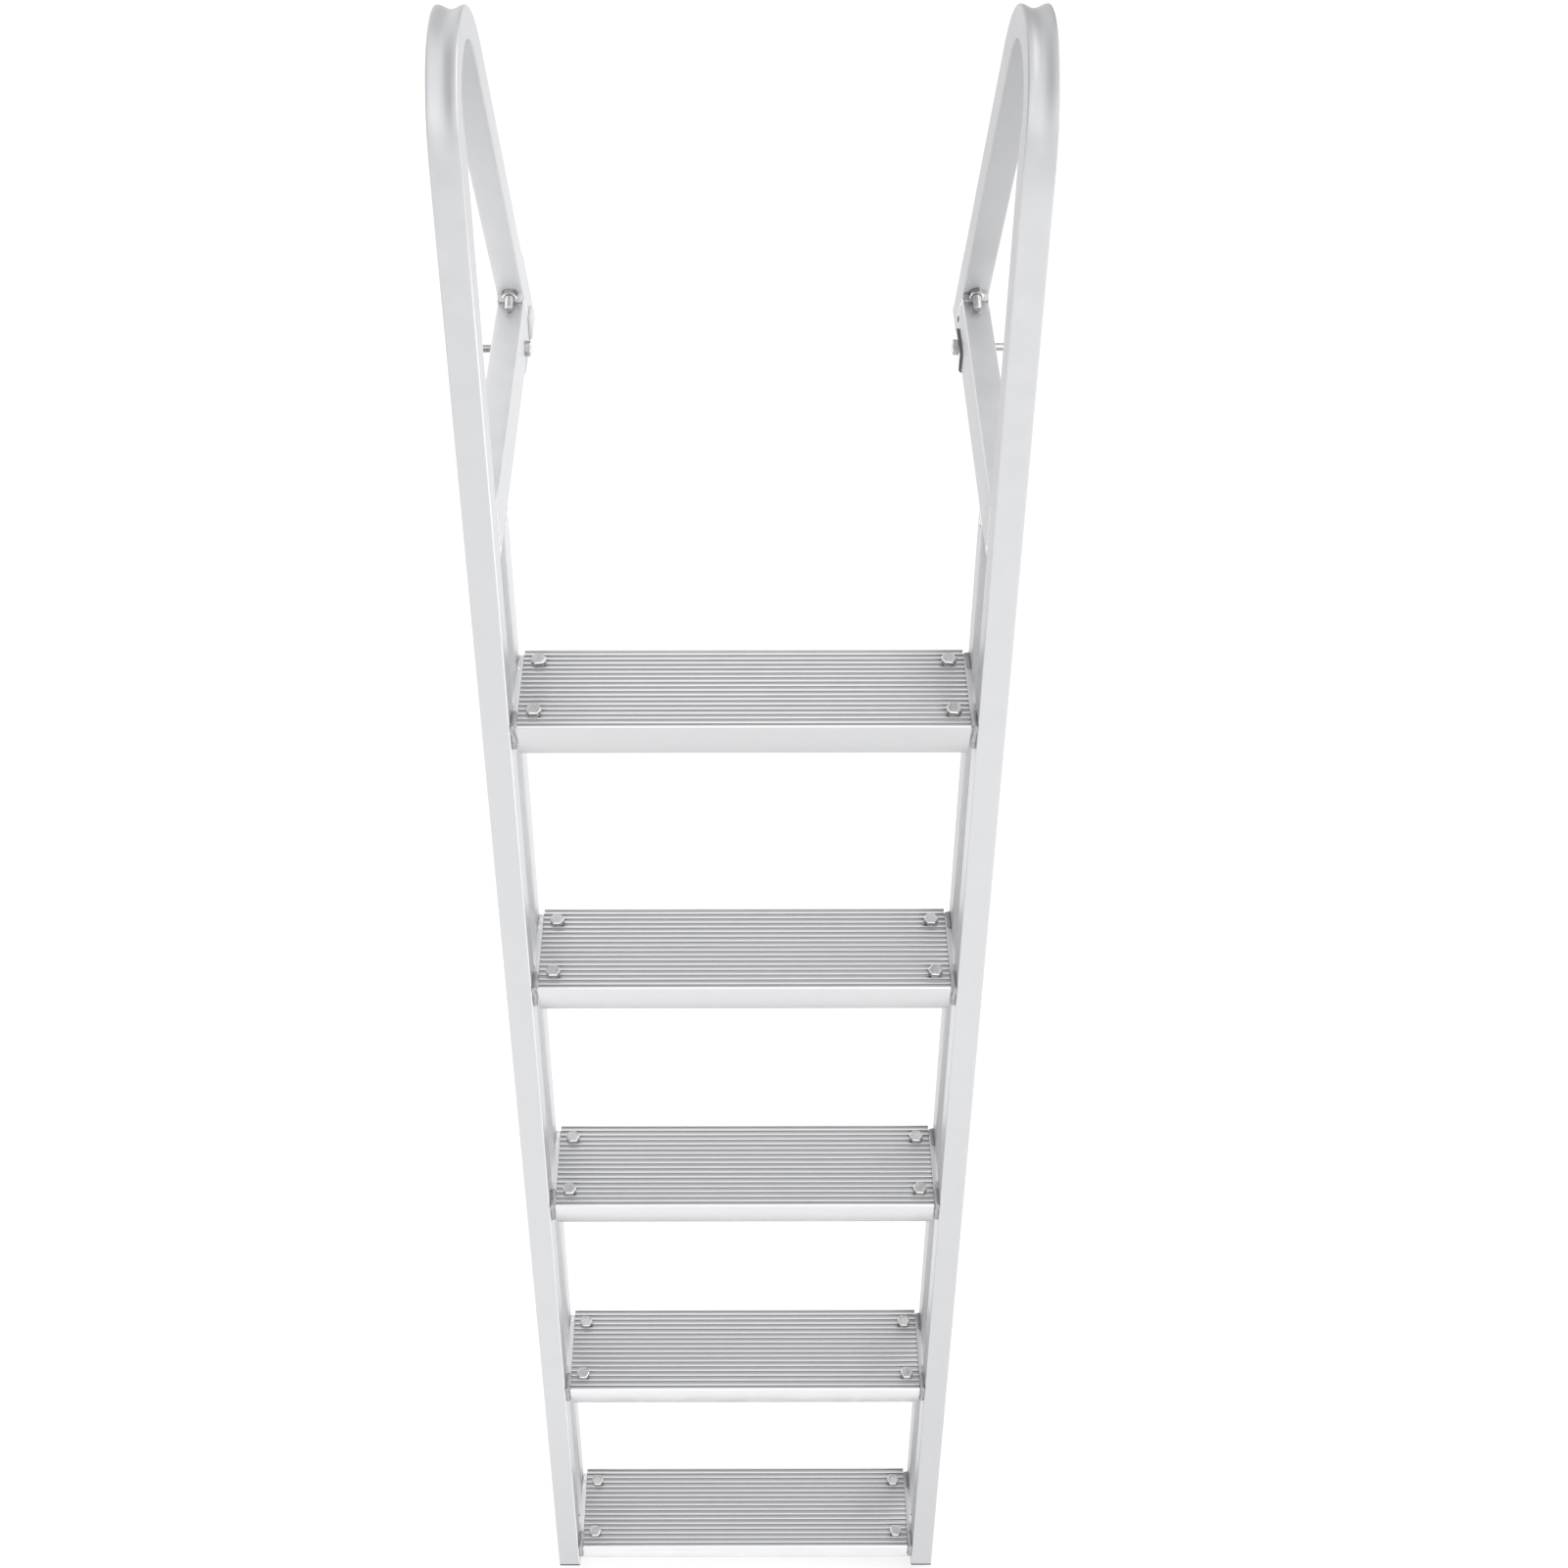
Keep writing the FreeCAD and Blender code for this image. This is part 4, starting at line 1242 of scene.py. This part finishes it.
fme = bpy.data.meshes.new("floor")
fme.from_pydata([(-12, -12, z_floor), (12, -12, z_floor), (12, 12, z_floor), (-12, 12, z_floor)],
                [], [(0, 1, 2, 3)])
fme.materials.append(fm)
floor = bpy.data.objects.new("floor", fme)
bpy.context.scene.collection.objects.link(floor)

world = bpy.data.worlds.new("world")
world.use_nodes = True
wnt = world.node_tree
bg = wnt.nodes["Background"]
wco = wnt.nodes.new("ShaderNodeTexCoord")
sep = wnt.nodes.new("ShaderNodeSeparateXYZ")
wnt.links.new(wco.outputs["Generated"], sep.inputs["Vector"])
up = ramp(wnt, sep.outputs["Z"], 0.0, 1.0, 0.0, 1.0)
bg_col = mixc(wnt, up, (0.97, 0.97, 0.98), (0.97, 0.97, 0.985))
# a little brighter to the front right, clearly brighter to the rear left
slope = math_node(wnt, "ADD", ramp(wnt, sep.outputs["Y"], -0.9, -0.4, 0.05, 0.36),
                  ramp(wnt, sep.outputs["Y"], 0.3, 0.7, 0.0, -1.0))
tilt = math_node(wnt, "MULTIPLY", sep.outputs["X"], slope)
level = math_node(wnt, "ADD", ramp(wnt, tilt, -0.5, 0.5, 0.92 - 0.47, 0.92 + 0.47),
                  ramp(wnt, sep.outputs["Z"], 0.78, 1.0, 0.0, 0.35))
# soft glow high in front, stronger to the right
glow = math_node(wnt, "MULTIPLY", ramp(wnt, sep.outputs["Z"], 0.12, 0.40, 0.0, 1.0),
                 ramp(wnt, sep.outputs["Z"], 0.62, 0.90, 1.0, 0.0))
glow = math_node(wnt, "MULTIPLY", glow, ramp(wnt, sep.outputs["Y"], -0.65, -0.25, 1.0, 0.0))
glow = math_node(wnt, "MULTIPLY", glow, ramp(wnt, sep.outputs["X"], -0.6, 0.6, 0.30, 0.70))
level = math_node(wnt, "ADD", level, glow)
wnt.links.new(level, bg.inputs["Strength"])
wnt.links.new(bg_col, bg.inputs["Color"])
bpy.context.scene.world = world


def area(name, loc, target, size, power, color=(1, 1, 1)):
    d = bpy.data.lights.new(name, "AREA")
    d.shape = "RECTANGLE"
    d.size, d.size_y = size
    d.energy = power
    d.color = color
    o = bpy.data.objects.new(name, d)
    o.location = loc
    o.rotation_euler = (Vector(target) - Vector(loc)).to_track_quat("-Z", "Y").to_euler()
    bpy.context.scene.collection.objects.link(o)
    return o


area("key", (3.2, 0.9, 1.6), (0.2, -0.2, -0.4), (2.4, 2.4), 22.0)

vs = bpy.context.scene.view_settings
vs.view_transform = "Standard"
vs.look = "None"
vs.exposure = 0.0
